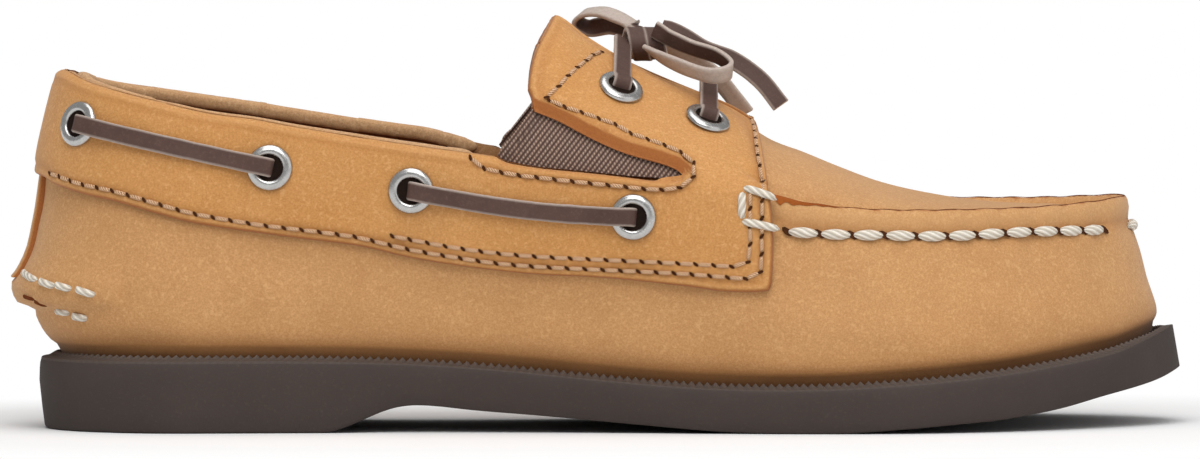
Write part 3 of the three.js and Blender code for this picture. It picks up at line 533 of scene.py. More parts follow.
    def locate(self, places: Array, side: Side, lift: float | Array = 0.0) -> tuple[Array, Array]:
        """Turn and level of places given in the side view.

        Formula: the nearest point of a coarse grid, then five Newton steps on x and z.

        Args:
            places: rows of x and z.
            side: which side of the shoe.
            lift: how far the face that is meant stands off the last.

        Returns:
            Turns and levels.
        """
        turns = side.value * np.linspace(0.002, 0.998, 200)
        levels = np.linspace(0, 2.98, 150)
        grid_turn, grid_level = np.meshgrid(turns, levels)
        coarse = self.raised(grid_turn, grid_level, float(np.mean(lift)))[..., [0, 2]].reshape(-1, 2)
        nearest = np.array([np.argmin(((coarse - p) ** 2).sum(axis=1)) for p in places])
        turn, level = grid_turn.ravel()[nearest], grid_level.ravel()[nearest]
        step = 1e-3
        for _ in range(5):
            here = self.raised(turn, level, lift)[:, [0, 2]]
            by_turn = (self.raised(turn + step, level, lift)[:, [0, 2]] - here) / step
            by_level = (self.raised(turn, level + step, lift)[:, [0, 2]] - here) / step
            miss = places - here
            det = by_turn[:, 0] * by_level[:, 1] - by_turn[:, 1] * by_level[:, 0]
            det = np.where(np.abs(det) < 1e-3, 1e-3, det)
            turn_step = (miss[:, 0] * by_level[:, 1] - miss[:, 1] * by_level[:, 0]) / det
            level_step = (by_turn[:, 0] * miss[:, 1] - by_turn[:, 1] * miss[:, 0]) / det
            turn = turn + np.clip(turn_step, -0.05, 0.05)
            level = np.clip(level + np.clip(level_step, -0.2, 0.2), 0, 2.999)
        return turn, level


class Node:
    """One output socket in a material's node tree, with the sums that shader maths needs."""

    def __init__(self, tree: bpy.types.NodeTree, socket: bpy.types.NodeSocket) -> None:
        """Wraps a socket of a tree."""
        self.tree = tree
        self.socket = socket

    def _math(self, operation: str, first: "Node | float", second: "Node | float" = 0.0) -> "Node":
        """Adds one Math node.

        Args:
            operation: the node's operation.
            first: its first value.
            second: its second value.

        Returns:
            The node's result.
        """
        return Tree(self.tree).add("ShaderNodeMath", {"operation": operation}, {0: first, 1: second})

    def __add__(self, other: "Node | float") -> "Node":
        """Sum."""
        return self._math("ADD", self, other)

    def __radd__(self, other: float) -> "Node":
        """Sum with a number on the left."""
        return self._math("ADD", other, self)

    def __sub__(self, other: "Node | float") -> "Node":
        """Difference."""
        return self._math("SUBTRACT", self, other)

    def __rsub__(self, other: float) -> "Node":
        """Difference from a number on the left."""
        return self._math("SUBTRACT", other, self)

    def __mul__(self, other: "Node | float") -> "Node":
        """Product."""
        return self._math("MULTIPLY", self, other)

    def __truediv__(self, other: "Node | float") -> "Node":
        """Quotient."""
        return self._math("DIVIDE", self, other)

    def __pow__(self, other: "Node | float") -> "Node":
        """Power."""
        return self._math("POWER", self, other)

    def clamp(self) -> "Node":
        """The value kept between 0 and 1."""
        return Tree(self.tree).add("ShaderNodeClamp", {}, {0: self})

    def wave(self) -> "Node":
        """The sine of the value."""
        return self._math("SINE", self)


Value = Node | float | tuple
Colour = tuple[float, float, float]


@dataclass(frozen=True)
class Tree:
    """A node tree and the one method that adds a node to it."""

    tree: bpy.types.NodeTree

    def add(self, kind: str, settings: dict[str, object], inputs: dict[int | str, Value],
            output: int | str = 0) -> Node:
        """Adds a node, sets it up and feeds its sockets.

        Args:
            kind: the node's type.
            settings: attributes set first.
            inputs: socket index or name to a value or a link.
            output: which output to hand back.

        Returns:
            The chosen output.
        """
        node = self.tree.nodes.new(kind)
        for name, setting in settings.items():
            setattr(node, name, setting)
        for key, value in inputs.items():
            if isinstance(value, Node):
                self.tree.links.new(value.socket, node.inputs[key])
            else:
                node.inputs[key].default_value = value
        return Node(self.tree, node.outputs[output])

    def mix(self, share: Value, first: Value, second: Value) -> Node:
        """Mixes two colours by a share."""
        return self.add("ShaderNodeMix", {"data_type": "RGBA", "clamp_factor": True},
                        {0: share, 6: opaque(first), 7: opaque(second)}, 2)

    def place(self, scale: tuple[float, float, float] = (1000.0, 1000.0, 1000.0)) -> Node:
        """Object coordinates in millimetres, stretched if asked."""
        here = self.add("ShaderNodeTexCoord", {}, {}, "Object")
        return self.add("ShaderNodeVectorMath", {"operation": "MULTIPLY"}, {0: here, 1: scale})

    def mask(self, name: str) -> Node:
        """A value that the mesh carries under a name."""
        return self.add("ShaderNodeAttribute", {"attribute_name": name}, {}, "Fac")

    def split(self, vector: Node) -> tuple[Node, Node]:
        """The first two parts of a vector."""
        parts = self.tree.nodes.new("ShaderNodeSeparateXYZ")
        self.tree.links.new(vector.socket, parts.inputs[0])
        return Node(self.tree, parts.outputs[0]), Node(self.tree, parts.outputs[1])

    def weave(self) -> tuple[Node, Node]:
        """The two parts of the piece's UV map, in millimetres."""
        return self.split(self.add("ShaderNodeUVMap", {"uv_map": "weave"}, {}, "UV"))

    def grain(self, where: Node, scale: float, detail: float = 4.0, rough: float = 0.6) -> Node:
        """Cloudy noise, scale in waves to the millimetre."""
        return self.add("ShaderNodeTexNoise", {}, {"Vector": where, "Scale": scale, "Detail": detail,
                                                   "Roughness": rough}, "Fac")

    def bump(self, height: Node, distance: float, strength: float) -> Node:
        """Turns a height into a normal, distance in millimetres."""
        return self.add("ShaderNodeBump", {}, {"Height": height, "Distance": distance * MM,
                                               "Strength": strength}, "Normal")


def opaque(colour: Value) -> Value:
    """A colour with its alpha, or a link as it is."""
    return colour if isinstance(colour, Node) else (*colour[:3], 1.0)


def srgb(text: str) -> Colour:
    """Linear colour of a six-digit hex colour."""
    parts = [int(text[i:i + 2], 16) / 255 for i in (0, 2, 4)]
    return tuple(p / 12.92 if p <= 0.04045 else ((p + 0.055) / 1.055) ** 2.4 for p in parts)


def new_material(name: str, base: Colour, roughness: float, metallic: float = 0.0, sheen: float = 0.0,
                 specular: float = 0.4) -> tuple[bpy.types.Material, Tree, Callable[[str, Node], None]]:
    """Starts a material on the principled shader.

    Args:
        name: the material's name.
        base: base colour set on the socket.
        roughness: roughness set on the socket.
        metallic: metallic set on the socket.
        sheen: sheen weight.
        specular: specular level.

    Returns:
        The material, its tree, and a function that feeds one of the shader's sockets.
    """
    material = bpy.data.materials.new(name)
    material.use_nodes = True
    shader = material.node_tree.nodes["Principled BSDF"]
    shader.inputs["Base Color"].default_value = (*base, 1.0)
    shader.inputs["Roughness"].default_value = roughness
    shader.inputs["Metallic"].default_value = metallic
    shader.inputs["Sheen Weight"].default_value = sheen
    shader.inputs["Specular IOR Level"].default_value = specular

    def feed(socket: str, value: Node) -> None:
        """Links a value into one of the shader's sockets."""
        material.node_tree.links.new(value.socket, shader.inputs[socket])

    return material, Tree(material.node_tree), feed


class Finish(Protocol):
    """What every finish below has: a name, and a method that makes its material."""

    name: str

    def make(self) -> bpy.types.Material:
        """Builds the material."""


@dataclass(frozen=True)
class NubuckFinish:
    """Waxed nubuck leather: mottled nap, darker where it is handled, painted shade and near-black painted
    shadow where a mesh asks for them, raw brown edges.
    """

    name: str = "nubuck"
    body: str = "C4935F"
    pale: str = "D6A873"
    dark: str = "A36B38"
    edge: str = "7E4218"
    fibres: str = "B87338"
    # near-black colour of the painted shadow, used where the burnish mask is strongest
    foot: str = "2A180F"

    def make(self) -> bpy.types.Material:
        """Builds the material. It reads the mesh's masks edge, burnish and light; burnish carries both
        handling marks and painted shade.

        Returns:
            The material.
        """
        material, t, feed = new_material(self.name, srgb(self.body), 0.72, sheen=0.12, specular=0.25)
        here = t.place()
        cloud = t.grain(here, 0.03, 3.0)
        patch = t.grain(here, 0.14, 5.0, 0.6)
        nap = t.grain(here, 2.4, 3.0, 0.75)
        colour = t.mix(((cloud - 0.5) * 2.0 + 0.5).clamp() * 0.4, srgb(self.body), srgb(self.pale))
        colour = t.mix(((0.52 - patch) * 3.0).clamp() * 0.22, colour, srgb(self.dark))
        colour = t.mix(((nap - 0.5) * 6.0 + 0.5).clamp() * 0.42, colour, srgb(self.dark))
        colour = t.mix(((t.grain(here, 1.1, 2.0, 0.6) - 0.55) * 8.0).clamp() * 0.5, colour, srgb(self.pale))
        # burnish darkens handled edges and lays painted shade; past 0.6 it turns to near-black painted shadow
        burnish_and_shade = t.mask("burnish_and_shade")
        colour = t.mix((burnish_and_shade * (0.6 + patch * 0.6)).clamp(), colour, srgb(self.dark))
        colour = t.mix(((burnish_and_shade - 0.6) * 2.0).clamp() * 0.85, colour, srgb(self.foot))
        colour = t.mix(t.mask("light").clamp() * 0.5, colour, srgb(self.pale))
        fibre = t.grain(here, 2.6, 4.0, 0.8)
        raw = t.mix(fibre, srgb(self.edge), srgb(self.fibres))
        colour = t.mix(t.mask("edge").clamp(), colour, raw)
        feed("Base Color", colour)
        feed("Roughness", 0.62 + patch * 0.22)
        pores = t.add("ShaderNodeTexVoronoi", {"feature": "F1"}, {"Vector": here, "Scale": 1.35}, "Distance")
        height = nap * 0.5 + fibre * 0.3 + pores * 0.25 + patch * 0.3
        feed("Normal", t.bump(height, 0.14, 0.7))
        return material


@dataclass(frozen=True)
class RubberFinish:
    """Moulded dark brown rubber with a fine matt skin."""

    name: str = "sole_rubber"

    def make(self) -> bpy.types.Material:
        """Builds the material. It reads the mesh's mask pale, a painted highlight on the welt strip and its
        teeth.

        Returns:
            The material.
        """
        material, t, feed = new_material(self.name, srgb("4E433E"), 0.78, specular=0.3)
        here = t.place()
        cloud = t.grain(here, 0.05, 4.0)
        speck = t.grain(here, 1.1, 4.0, 0.7)
        colour = t.mix(cloud, srgb("3B322E"), srgb("483E3A"))
        colour = t.mix(((speck - 0.55) * 4.0).clamp() * 0.25, colour, srgb("685B53"))
        colour = t.mix(t.mask("pale").clamp(), colour, srgb("5F534C"))
        feed("Base Color", colour)
        feed("Roughness", 0.7 + speck * 0.2)
        feed("Normal", t.bump(speck * 0.6 + cloud * 0.6, 0.12, 0.6))
        return material


@dataclass(frozen=True)
class WebbingFinish:
    """Woven elastic: ribs across, pale threads in a diagonal weave."""

    name: str = "elastic_webbing"
    rib_pitch: float = 0.96
    cross_pitch: float = 0.74
    slant: float = 0.4

    def make(self) -> bpy.types.Material:
        """Builds the material on the piece's UV map, which is in millimetres.

        Returns:
            The material.
        """
        material, t, feed = new_material(self.name, srgb("6D554B"), 0.95, sheen=0.2, specular=0.2)
        x, y = t.weave()
        ribs = (x * (2 * math.pi / self.rib_pitch)).wave() * 0.5 + 0.5
        cross = ((y + x * self.slant) * (2 * math.pi / self.cross_pitch)).wave() * 0.5 + 0.5
        weave = ribs * (cross * 0.65 + 0.35)
        colour = t.mix((weave**1.3).clamp(), srgb("4B362F"), srgb("BFA18E"))
        colour = t.mix(t.mask("edge").clamp() * 0.8, colour, srgb("3E2C26"))
        feed("Base Color", colour)
        feed("Normal", t.bump(weave, 0.3, 1.0))
        return material


@dataclass(frozen=True)
class ThreadFinish:
    """Twisted thread; the twist runs along the piece's UV map in millimetres."""

    name: str
    colour: str
    shade: str
    pitch: float
    lean: float = 1.1

    def make(self) -> bpy.types.Material:
        """Builds the material.

        Returns:
            The material.
        """
        material, t, feed = new_material(self.name, srgb(self.colour), 0.7, specular=0.3)
        x, y = t.weave()
        twist = ((x * self.lean + y) * (2 * math.pi / self.pitch)).wave() * 0.5 + 0.5
        dirt = t.grain(t.place(), 0.4, 3.0)
        colour = t.mix(twist, srgb(self.shade), srgb(self.colour))
        colour = t.mix(((0.5 - dirt) * 3.0).clamp() * 0.4, colour, srgb(self.shade))
        feed("Base Color", colour)
        feed("Normal", t.bump(twist, 0.25, 0.9))
        return material


@dataclass(frozen=True)
class NickelFinish:
    """Bright nickel plate with faint brushing."""

    name: str = "bright_nickel"

    def make(self) -> bpy.types.Material:
        """Builds the material.

        Returns:
            The material.
        """
        material, t, feed = new_material(self.name, srgb("B9B8B6"), 0.26, metallic=1.0)
        here = t.place()
        speck = t.grain(here, 0.9, 4.0, 0.7)
        feed("Base Color", t.mix(speck, srgb("A3A2A0"), srgb("D2D1CF")))
        feed("Roughness", 0.18 + speck * 0.16)
        feed("Normal", t.bump(speck, 0.03, 0.5))
        return material


@dataclass(frozen=True)
class RawhideFinish:
    """Cut leather lace: waxed brown grain side and pale fibrous flesh side."""

    name: str = "rawhide_lace"

    def make(self) -> bpy.types.Material:
        """Builds the material. It reads the mesh's mask flesh.

        Returns:
            The material.
        """
        material, t, feed = new_material(self.name, srgb("654A41"), 0.6, specular=0.35)
        here = t.place()
        cloud = t.grain(here, 0.12, 4.0)
        fibre = t.grain(here, 1.4, 5.0, 0.75)
        grain_side = t.mix(cloud, srgb("3E2822"), srgb("5E453C"))
        grain_side = t.mix(((fibre - 0.52) * 4.0).clamp() * 0.4, grain_side, srgb("7D6459"))
        flesh_side = t.mix(fibre, srgb("95837A"), srgb("CDBFB3"))
        feed("Base Color", t.mix(t.mask("flesh").clamp(), grain_side, flesh_side))
        feed("Roughness", 0.5 + fibre * 0.3)
        feed("Normal", t.bump(fibre * 0.7 + cloud * 0.5, 0.15, 0.8))
        return material


@dataclass(frozen=True)
class HoleShadeFinish:
    """Painted shade: the dark inside a hole, laid on as a flat disc."""

    name: str = "needle_hole_shade"
    body: str = "3B2413"
    low: str = "2C170A"
    high: str = "55311A"

    def make(self) -> bpy.types.Material:
        """Builds the material.

        Returns:
            The material.
        """
        material, t, feed = new_material(self.name, srgb(self.body), 0.95, specular=0.1)
        feed("Base Color", t.mix(t.grain(t.place(), 1.5), srgb(self.low), srgb(self.high)))
        return material


@dataclass(frozen=True)
class RidgeFinish:
    """The shaded gap between two leather layers, raw orange where it opens."""

    name: str = "ridge_gap"

    def make(self) -> bpy.types.Material:
        """Builds the material. It reads the mesh's mask edge.

        Returns:
            The material.
        """
        material, t, feed = new_material(self.name, srgb("5E2D15"), 0.9, specular=0.1)
        fibre = t.grain(t.place(), 1.6, 4.0, 0.7)
        gap = t.mix(fibre, srgb("4A2210"), srgb("7E4220"))
        feed("Base Color", t.mix(t.mask("edge").clamp(), gap, t.mix(fibre, srgb("8A4518"), srgb("A9602C"))))
        return material


class Workshop:
    """Makes meshes from arrays, keeps the finishes and fastens pieces to the frame."""

    def __init__(self) -> None:
        """Starts with no finishes made."""
        self.finishes: dict[str, bpy.types.Material] = {}

    def material(self, finish: Finish) -> bpy.types.Material:
        """The material of a finish, made once."""
        if finish.name not in self.finishes:
            self.finishes[finish.name] = finish.make()
        return self.finishes[finish.name]

    def piece(self, name: str, points: Array, faces: Array, finish: Finish, slot: Slot,
              replaces: Sequence[str] = (), masks: dict[str, Array] | None = None, uv: Array | None = None,
              sharp: float = 50.0) -> bpy.types.Object:
        """Makes one object from arrays and fastens it.

        Args:
            name: the piece's name.
            points: corners in millimetres.
            faces: rows of three or four corner numbers.
            finish: its finish.
            slot: the record's slot; not used.
            replaces: the nodes it stands for.
            masks: values at the corners, by name.
            uv: a pair for every corner.
            sharp: angle in degrees over which an edge is sharp.

        Returns:
            The object.
        """
        mesh = bpy.data.meshes.new(name)
        faces = np.asarray(faces, dtype=np.int32)
        mesh.vertices.add(len(points))
        mesh.vertices.foreach_set("co", (np.asarray(points, float) * MM).ravel())
        mesh.loops.add(faces.size)
        mesh.loops.foreach_set("vertex_index", faces.ravel())
        mesh.polygons.add(len(faces))
        mesh.polygons.foreach_set("loop_start", np.arange(0, faces.size, faces.shape[1], dtype=np.int32))
        mesh.update(calc_edges=True)
        mesh.validate()
        for mask, values in (masks or {}).items():
            layer = mesh.attributes.new(mask, "FLOAT", "POINT")
            layer.data.foreach_set("value", np.asarray(values, float).ravel())
        if uv is not None:
            layer = mesh.uv_layers.new(name="weave")
            corners = np.empty(len(mesh.loops), dtype=np.int32)
            mesh.loops.foreach_get("vertex_index", corners)
            layer.data.foreach_set("uv", np.asarray(uv, float)[corners].ravel())
        mesh.shade_smooth()
        mesh.set_sharp_from_angle(angle=math.radians(sharp))
        piece = bpy.data.objects.new(name, mesh)
        bpy.context.scene.collection.objects.link(piece)
        mesh.materials.append(self.material(finish))
        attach(piece, BODY)
        if replaces:
            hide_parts(*replaces)
        log.info("%s: %d faces", name, len(faces))
        return piece


def grid_faces(rows: int, columns: int, closed: bool = False) -> Array:
    """Quads of a grid of points, row after row.

    Args:
        rows: how many rows.
        columns: how many columns.
        closed: whether the last column joins the first.

    Returns:
        Rows of four corner numbers, facing along columns crossed with rows.
    """
    i, j = np.meshgrid(np.arange(rows - 1), np.arange(columns if closed else columns - 1), indexing="ij")
    k = (j + 1) % columns
    low, high = i * columns, (i + 1) * columns
    return np.stack([low + j, low + k, high + k, high + j], -1).reshape(-1, 4)


def triangles(quads: Array) -> Array:
    """Two triangles for every quad."""
    return np.concatenate([quads[:, [0, 1, 2]], quads[:, [0, 2, 3]]])


def tube_faces(rows: int, sides: int) -> Array:
    """Triangles of a tube of closed rings, row after row, with a fan over each end."""
    near = [[0, k + 1, k] for k in range(1, sides - 1)]
    end = (rows - 1) * sides
    far = [[end, end + k, end + k + 1] for k in range(1, sides - 1)]
    return np.concatenate([triangles(grid_faces(rows, sides, closed=True)), np.array(near + far)])


def fan_faces(sides: int) -> Array:
    """Triangles from a ring to a middle that is numbered after it."""
    return np.array([[k, (k + 1) % sides, sides] for k in range(sides)])


def copies(faces: Array, count: int, corners: int) -> Array:
    """The faces of one small mesh repeated for count meshes of so many corners each."""
    return (faces[None] + (np.arange(count) * corners)[:, None, None]).reshape(-1, faces.shape[1])


def facing_out(points: Array, faces: Array, middles: Array) -> Array:
    """Turns all faces over if, taken together, they look towards the middles of their corners."""
    corner = points[faces]
    out = np.cross(corner[:, 1] - corner[:, 0], corner[:, 2] - corner[:, 0])
    away = corner.mean(axis=1) - middles[faces].mean(axis=1)
    return faces[:, ::-1] if (out * away).sum() < 0 else faces


def angles(sides: int) -> Array:
    """Angles of a ring's corners."""
    return 2 * np.pi * np.arange(sides) / sides


def arc_length(line: Array) -> Array:
    """Length along a line up to each of its points."""
    return np.concatenate([[0], np.cumsum(np.linalg.norm(np.diff(line, axis=0), axis=1))])


def even_stops(length: Array, step: float) -> Array:
    """Equal stops along a line, about one step apart."""
    return np.linspace(0, length[-1], max(2, round(length[-1] / step) + 1))


def smooth_line(points: Array, step: float) -> Array:
    """A smooth line through points, evenly stepped.

    Formula: Catmull-Rom curves through the points, then equal steps of arc length.

    Args:
        points: the points, two or three numbers each.
        step: the length between the points handed back.

    Returns:
        The stepped points.
    """
    p = np.concatenate([2 * points[:1] - points[1:2], points, 2 * points[-1:] - points[-2:-1]])
    t = np.linspace(0, 1, 12, endpoint=False)[None, :, None]
    a, b, c, d = (p[i:len(p) - 3 + i, None] for i in range(4))
    curve = 0.5 * (2 * b + (c - a) * t + (2 * a - 5 * b + 4 * c - d) * t**2 + (3 * b - a - 3 * c + d) * t**3)
    dense = np.concatenate([curve.reshape(-1, p.shape[1]), points[-1:]])
    return even_steps(dense, step)


def even_steps(line: Array, step: float) -> Array:
    """The same line with points at equal steps of its length."""
    length = arc_length(line)
    stops = even_stops(length, step)
    return np.stack([np.interp(stops, length, line[:, c]) for c in range(line.shape[1])], axis=-1)


def outline_distance(places: Array, outline: Array) -> Array:
    """Distance of places from a closed outline in the side view, positive inside it.

    Formula: the least distance to any of its straight parts, signed by counting crossings.

    Args:
        places: rows of x and z.
        outline: rows of x and z.

    Returns:
        The signed distances.
    """
    x, z = places[:, 0], places[:, 1]
    best = np.full(len(places), np.inf)
    inside = np.zeros(len(places), bool)
    for p, q in zip(outline, np.roll(outline, -1, axis=0)):
        d = q - p
        t = np.clip(((x - p[0]) * d[0] + (z - p[1]) * d[1]) / max(d @ d, 1e-9), 0, 1)
        best = np.minimum(best, np.hypot(x - p[0] - t * d[0], z - p[1] - t * d[1]))
        if d[1]:
            inside ^= ((p[1] > z) != (q[1] > z)) & (x < p[0] + (z - p[1]) / d[1] * d[0])
    return np.where(inside, best, -best)


def weld(points: Array, faces: Array, near: float = 0.003) -> tuple[Array, Array]:
    """Joins corners that share a place and drops faces that collapse.

    Args:
        points: corners.
        faces: triangles.
        near: size of the cells in which corners are one.

    Returns:
        The numbers of the corners kept, and the triangles on them.
    """
    used = np.unique(faces)
    keys = np.round(points[used] / near).astype(np.int64)
    _, first, inverse = np.unique(keys, axis=0, return_index=True, return_inverse=True)
    lookup = np.zeros(len(points), dtype=np.int64)
    lookup[used] = inverse.ravel()
    faces = lookup[faces]
    whole = (faces[:, 0] != faces[:, 1]) & (faces[:, 1] != faces[:, 2]) & (faces[:, 2] != faces[:, 0])
    return used[first], faces[whole]


def level_rows(low: float, wall: int, ridge: int, crown: int) -> Array:
    """Levels from low up to the crown, with so many rows to the wall, the ridge and the crown."""
    parts = [np.linspace(low, 1, wall), np.linspace(1, 2, ridge)[1:], np.linspace(2, 3, crown)[1:]]
    return np.concatenate(parts)


@dataclass
class Patch:
    """A piece of the last's surface: triangles whose corners are kept as turn and level."""

    last: Last
    where: Array
    faces: Array
    lift: float = 0.0

    SNAP = 0.06  # corners this near to a cut are taken as on it

    @classmethod
    def over(cls, last: Last, turns: Array, levels: Array, lift: float = 0.0) -> "Patch":
        """Covers a range of turns and levels.

        Args:
            last: the last.
            turns: columns.
            levels: rows.
            lift: height of the face that outlines are measured on.

        Returns:
            The patch.
        """
        turn, level = np.meshgrid(turns, levels)
        faces = triangles(grid_faces(len(levels), len(turns)))[:, ::-1]
        return cls(last, np.stack([turn.ravel(), level.ravel()], axis=-1), faces, lift)

    def points(self) -> Array:
        """The corners on the lifted face."""
        return self.last.raised(self.where[:, 0], self.where[:, 1], self.lift)

    def cut(self, distance: Distance, at: float = 0.0, keep_both: bool = False) -> "Patch":
        """Cuts along the line where a distance has a value.

        Formula: each triangle across the line is parted at the line's crossing of its edges.

        Args:
            distance: takes corners and their turn and level, and gives values.
            at: the value to cut at.
            keep_both: keeps the part below too, so that the line only adds corners.

        Returns:
            The cut patch.
        """
        values = distance(self.points(), self.where) - at
        values = np.where(np.abs(values) < self.SNAP, 0.0, values)
        above = values > 0
        count = above[self.faces].sum(axis=1)
        mixed = self.faces[(count == 1) | (count == 2)]
        one = above[mixed].sum(axis=1) == 1
        odd = np.where(one[:, None], above[mixed], ~above[mixed]).argmax(axis=1)
        mixed = mixed[np.arange(len(mixed))[:, None], (odd[:, None] + np.arange(3)) % 3]
        edges = np.sort(np.concatenate([mixed[:, [0, 1]], mixed[:, [0, 2]]]), axis=1)
        unique, inverse = np.unique(edges, axis=0, return_inverse=True)
        low, high = values[unique[:, 0]], values[unique[:, 1]]
        share = (low / np.where(low == high, 1, low - high))[:, None]
        fresh = self.where[unique[:, 0]] * (1 - share) + self.where[unique[:, 1]] * share
        inverse = inverse.ravel() + len(self.where)
        p, q = inverse[:len(mixed)], inverse[len(mixed):]
        tip = np.c_[mixed[:, 0], p, q]
        rest = np.concatenate([np.c_[p, mixed[:, 1], mixed[:, 2]], np.c_[p, mixed[:, 2], q]])
        both = np.concatenate([one, one])
        kept = [self.faces[count == 3], tip[one], rest[~both]]
        if keep_both:
            kept += [self.faces[count == 0], tip[~one], rest[both]]
        return Patch(self.last, np.concatenate([self.where, fresh]), np.concatenate(kept), self.lift)

    def trimmed(self, distance: Distance, rows: Sequence[float] = ()) -> "Patch":
        """Keeps what lies inside a distance and adds rows of corners along its edge."""
        patch = self.cut(distance)
        for row in rows:
            patch = patch.cut(distance, row, keep_both=True)
        return patch

    def shell(self, distance: Distance, top: Callable[[Array, Array, Array], Array], bottom: float,
              back: bool = False) -> tuple[Array, Array, dict[str, Array]]:
        """Raises the patch into leather with its cut edges closed.

        Formula: corners lifted by top, walls down to bottom along each edge that belongs to one triangle.

        Args:
            distance: distance inside the edge.
            top: takes corners on the last, turn and level, and distance, and gives heights.
            bottom: height of the underside.
            back: closes the underside too.

        Returns:
            Corners, triangles and the masks edge, inside and level.
        """
        kept, faces = weld(self.points(), self.faces)
        where = self.where[kept]
        base, normals = self.last.sample(where[:, 0], where[:, 1])
        inside = distance(self.points()[kept], where)
        upper = base + normals * top(base, where, inside)[:, None]
        lower = base + normals * bottom
        edges = faces[:, [0, 1, 1, 2, 2, 0]].reshape(-1, 2)
        _, inverse, count = np.unique(np.sort(edges, axis=1), axis=0, return_inverse=True, return_counts=True)
        rim = edges[count[inverse.ravel()] == 1]
        n = len(upper)
        start, stop = rim.T
        walls = np.concatenate([np.c_[stop, start, start + n], np.c_[stop, start + n, stop + n]])
        parts = [faces, walls] + ([faces[:, ::-1] + n] if back else [])
        points, everything = np.concatenate([upper, lower]), np.concatenate(parts)
        used = np.unique(everything)
        lookup = np.zeros(2 * n, dtype=np.int64)
        lookup[used] = np.arange(len(used))
        on_rim = np.zeros(n)
        on_rim[np.unique(rim)] = 1.0
        masks = {
            "edge": np.concatenate([on_rim, np.ones(n)])[used],
            "inside": np.concatenate([inside, inside])[used],
            "level": np.concatenate([where[:, 1]] * 2)[used],
        }
        return points[used], lookup[everything], masks


def rounded_edge(inside: Array, radius: float) -> Array:
    """How far a rounded edge drops: radius less the height of a quarter circle over the distance inside."""
    back = np.clip(1 - inside / radius, 0, 1)
    return radius * (1 - np.sqrt(1 - back**2))


@dataclass
class Outlines:
    """The lines that the leather pieces are cut along, as distances measured in the side view."""

    last: Last
    medial_rise: float = 1.8
    throat_rear: float = 0.4
    throat_front: float = 0.6

    FAR = 99.0

    def __post_init__(self) -> None:
        """Works the outlines out once."""
        x_at, height = self.last.x_at, self.last.sizes.collar_height
        view = self.last.side_view
        rim = smooth_line(view(RIM), 2.0)
        tab = smooth_line(view(TAB_REAR), 2.0)
        self.collar = np.concatenate([[(x_at(-0.1), height)], rim, tab[1:],
                                      [(x_at(0.46), 1.7 * height), (x_at(-0.1), 1.7 * height)]])
        open_rear = view(np.array([(0.399, 0.764), (0.38, 0.79), (0.405, 0.905)]))
        self.gore = np.concatenate([smooth_line(view(GORE_OUTLINE), 1.2), open_rear])
        self.selvage = view(np.array([(0.3985, 0.75), (0.4365, 0.905)]))
        lower = view(SADDLE_LOWER)
        self.saddle = np.concatenate([smooth_line(lower, 1.5), [(x_at(-0.04), 1.7 * height)]])
        self.middle = -0.3 * self.last.sizes.toe_swing

    def below_collar(self, points: Array) -> Array:
        """Distance below the collar's line, which stands higher along the inner side of the foot."""
        x, x_at = points[:, 0], self.last.x_at
        hump = smooth_step(x_at(0.03), x_at(0.16), x) * (1 - smooth_step(x_at(0.33), x_at(0.395), x))
        rise = self.medial_rise * hump * smooth_step(-6.0, 10.0, points[:, 1])
        return -outline_distance(points[:, [0, 2]] - np.stack([0 * rise, rise], axis=-1), self.collar)

    def folded(self, points: Array) -> Array:
        """Share from 0 at the collar's folded rim to 1 away from it."""
        rim = self.below_collar(points)
        tab = points[:, 0] > self.last.x_at(0.405)
        return np.where(tab, 1.0, smooth_step(1.6, 2.8, rim))

    def over_gore(self, points: Array) -> Array:
        """Distance from the gore for places above it, FAR elsewhere."""
        view = points[:, [0, 2]]
        here = -outline_distance(view, self.gore)
        higher = -outline_distance(view + np.array([0.0, 0.4]), self.gore)
        return np.where(higher > here + 0.1, here, self.FAR)

    def beside_throat(self, points: Array, half: float) -> Array:
        """Distance outside the throat's straight sides, FAR behind the throat."""
        beside = np.abs(points[:, 1] - self.middle) - half
        return np.where(points[:, 0] > self.last.x_at(self.throat_rear), beside, self.FAR)

    def upper(self, points: Array, where: Array) -> Array:
        """Distance inside the upper: below the collar, outside gores and tongue slot."""
        view = points[:, [0, 2]]
        slot = np.maximum(self.beside_throat(points, self.last.sizes.tongue_half_width),
                          points[:, 0] - self.last.x_at(self.throat_front))
        return np.minimum.reduce([self.below_collar(points), -outline_distance(view, self.gore), slot])

    def lining(self, points: Array, where: Array) -> Array:
        """Distance inside the lining: below the collar and outside the gores."""
        view = points[:, [0, 2]]
        return np.minimum(self.below_collar(points), -outline_distance(view, self.gore))

    def saddle_piece(self, points: Array, where: Array) -> Array:
        """Distance inside the saddle."""
        view = points[:, [0, 2]]
        throat = self.beside_throat(points, self.last.sizes.throat_half_gap)
        return np.minimum.reduce([outline_distance(view, self.saddle), self.below_collar(points),
                                  -outline_distance(view, self.gore), throat])

    def tongue(self, points: Array, where: Array) -> Array:
        """Distance inside the tongue."""
        x, gap = points[:, 0], self.last.sizes.seat_gap
        half = self.last.sizes.tongue_half_width - gap
        return np.minimum.reduce([
            half - np.abs(points[:, 1] - self.middle), x - self.last.x_at(self.throat_rear),
            self.last.x_at(self.throat_front) - gap - x, self.below_collar(points)])

    def webbing(self, points: Array, where: Array) -> Array:
        """Distance inside a gore, clear of the leather round it."""
        view = points[:, [0, 2]]
        low, high = self.selvage
        along = unit((high - low)[None])[0]
        behind = (view - low) @ np.array([along[1], -along[0]])
        return np.minimum.reduce([outline_distance(view, self.gore) - self.last.sizes.seat_gap, behind,
                                  self.below_collar(points)])


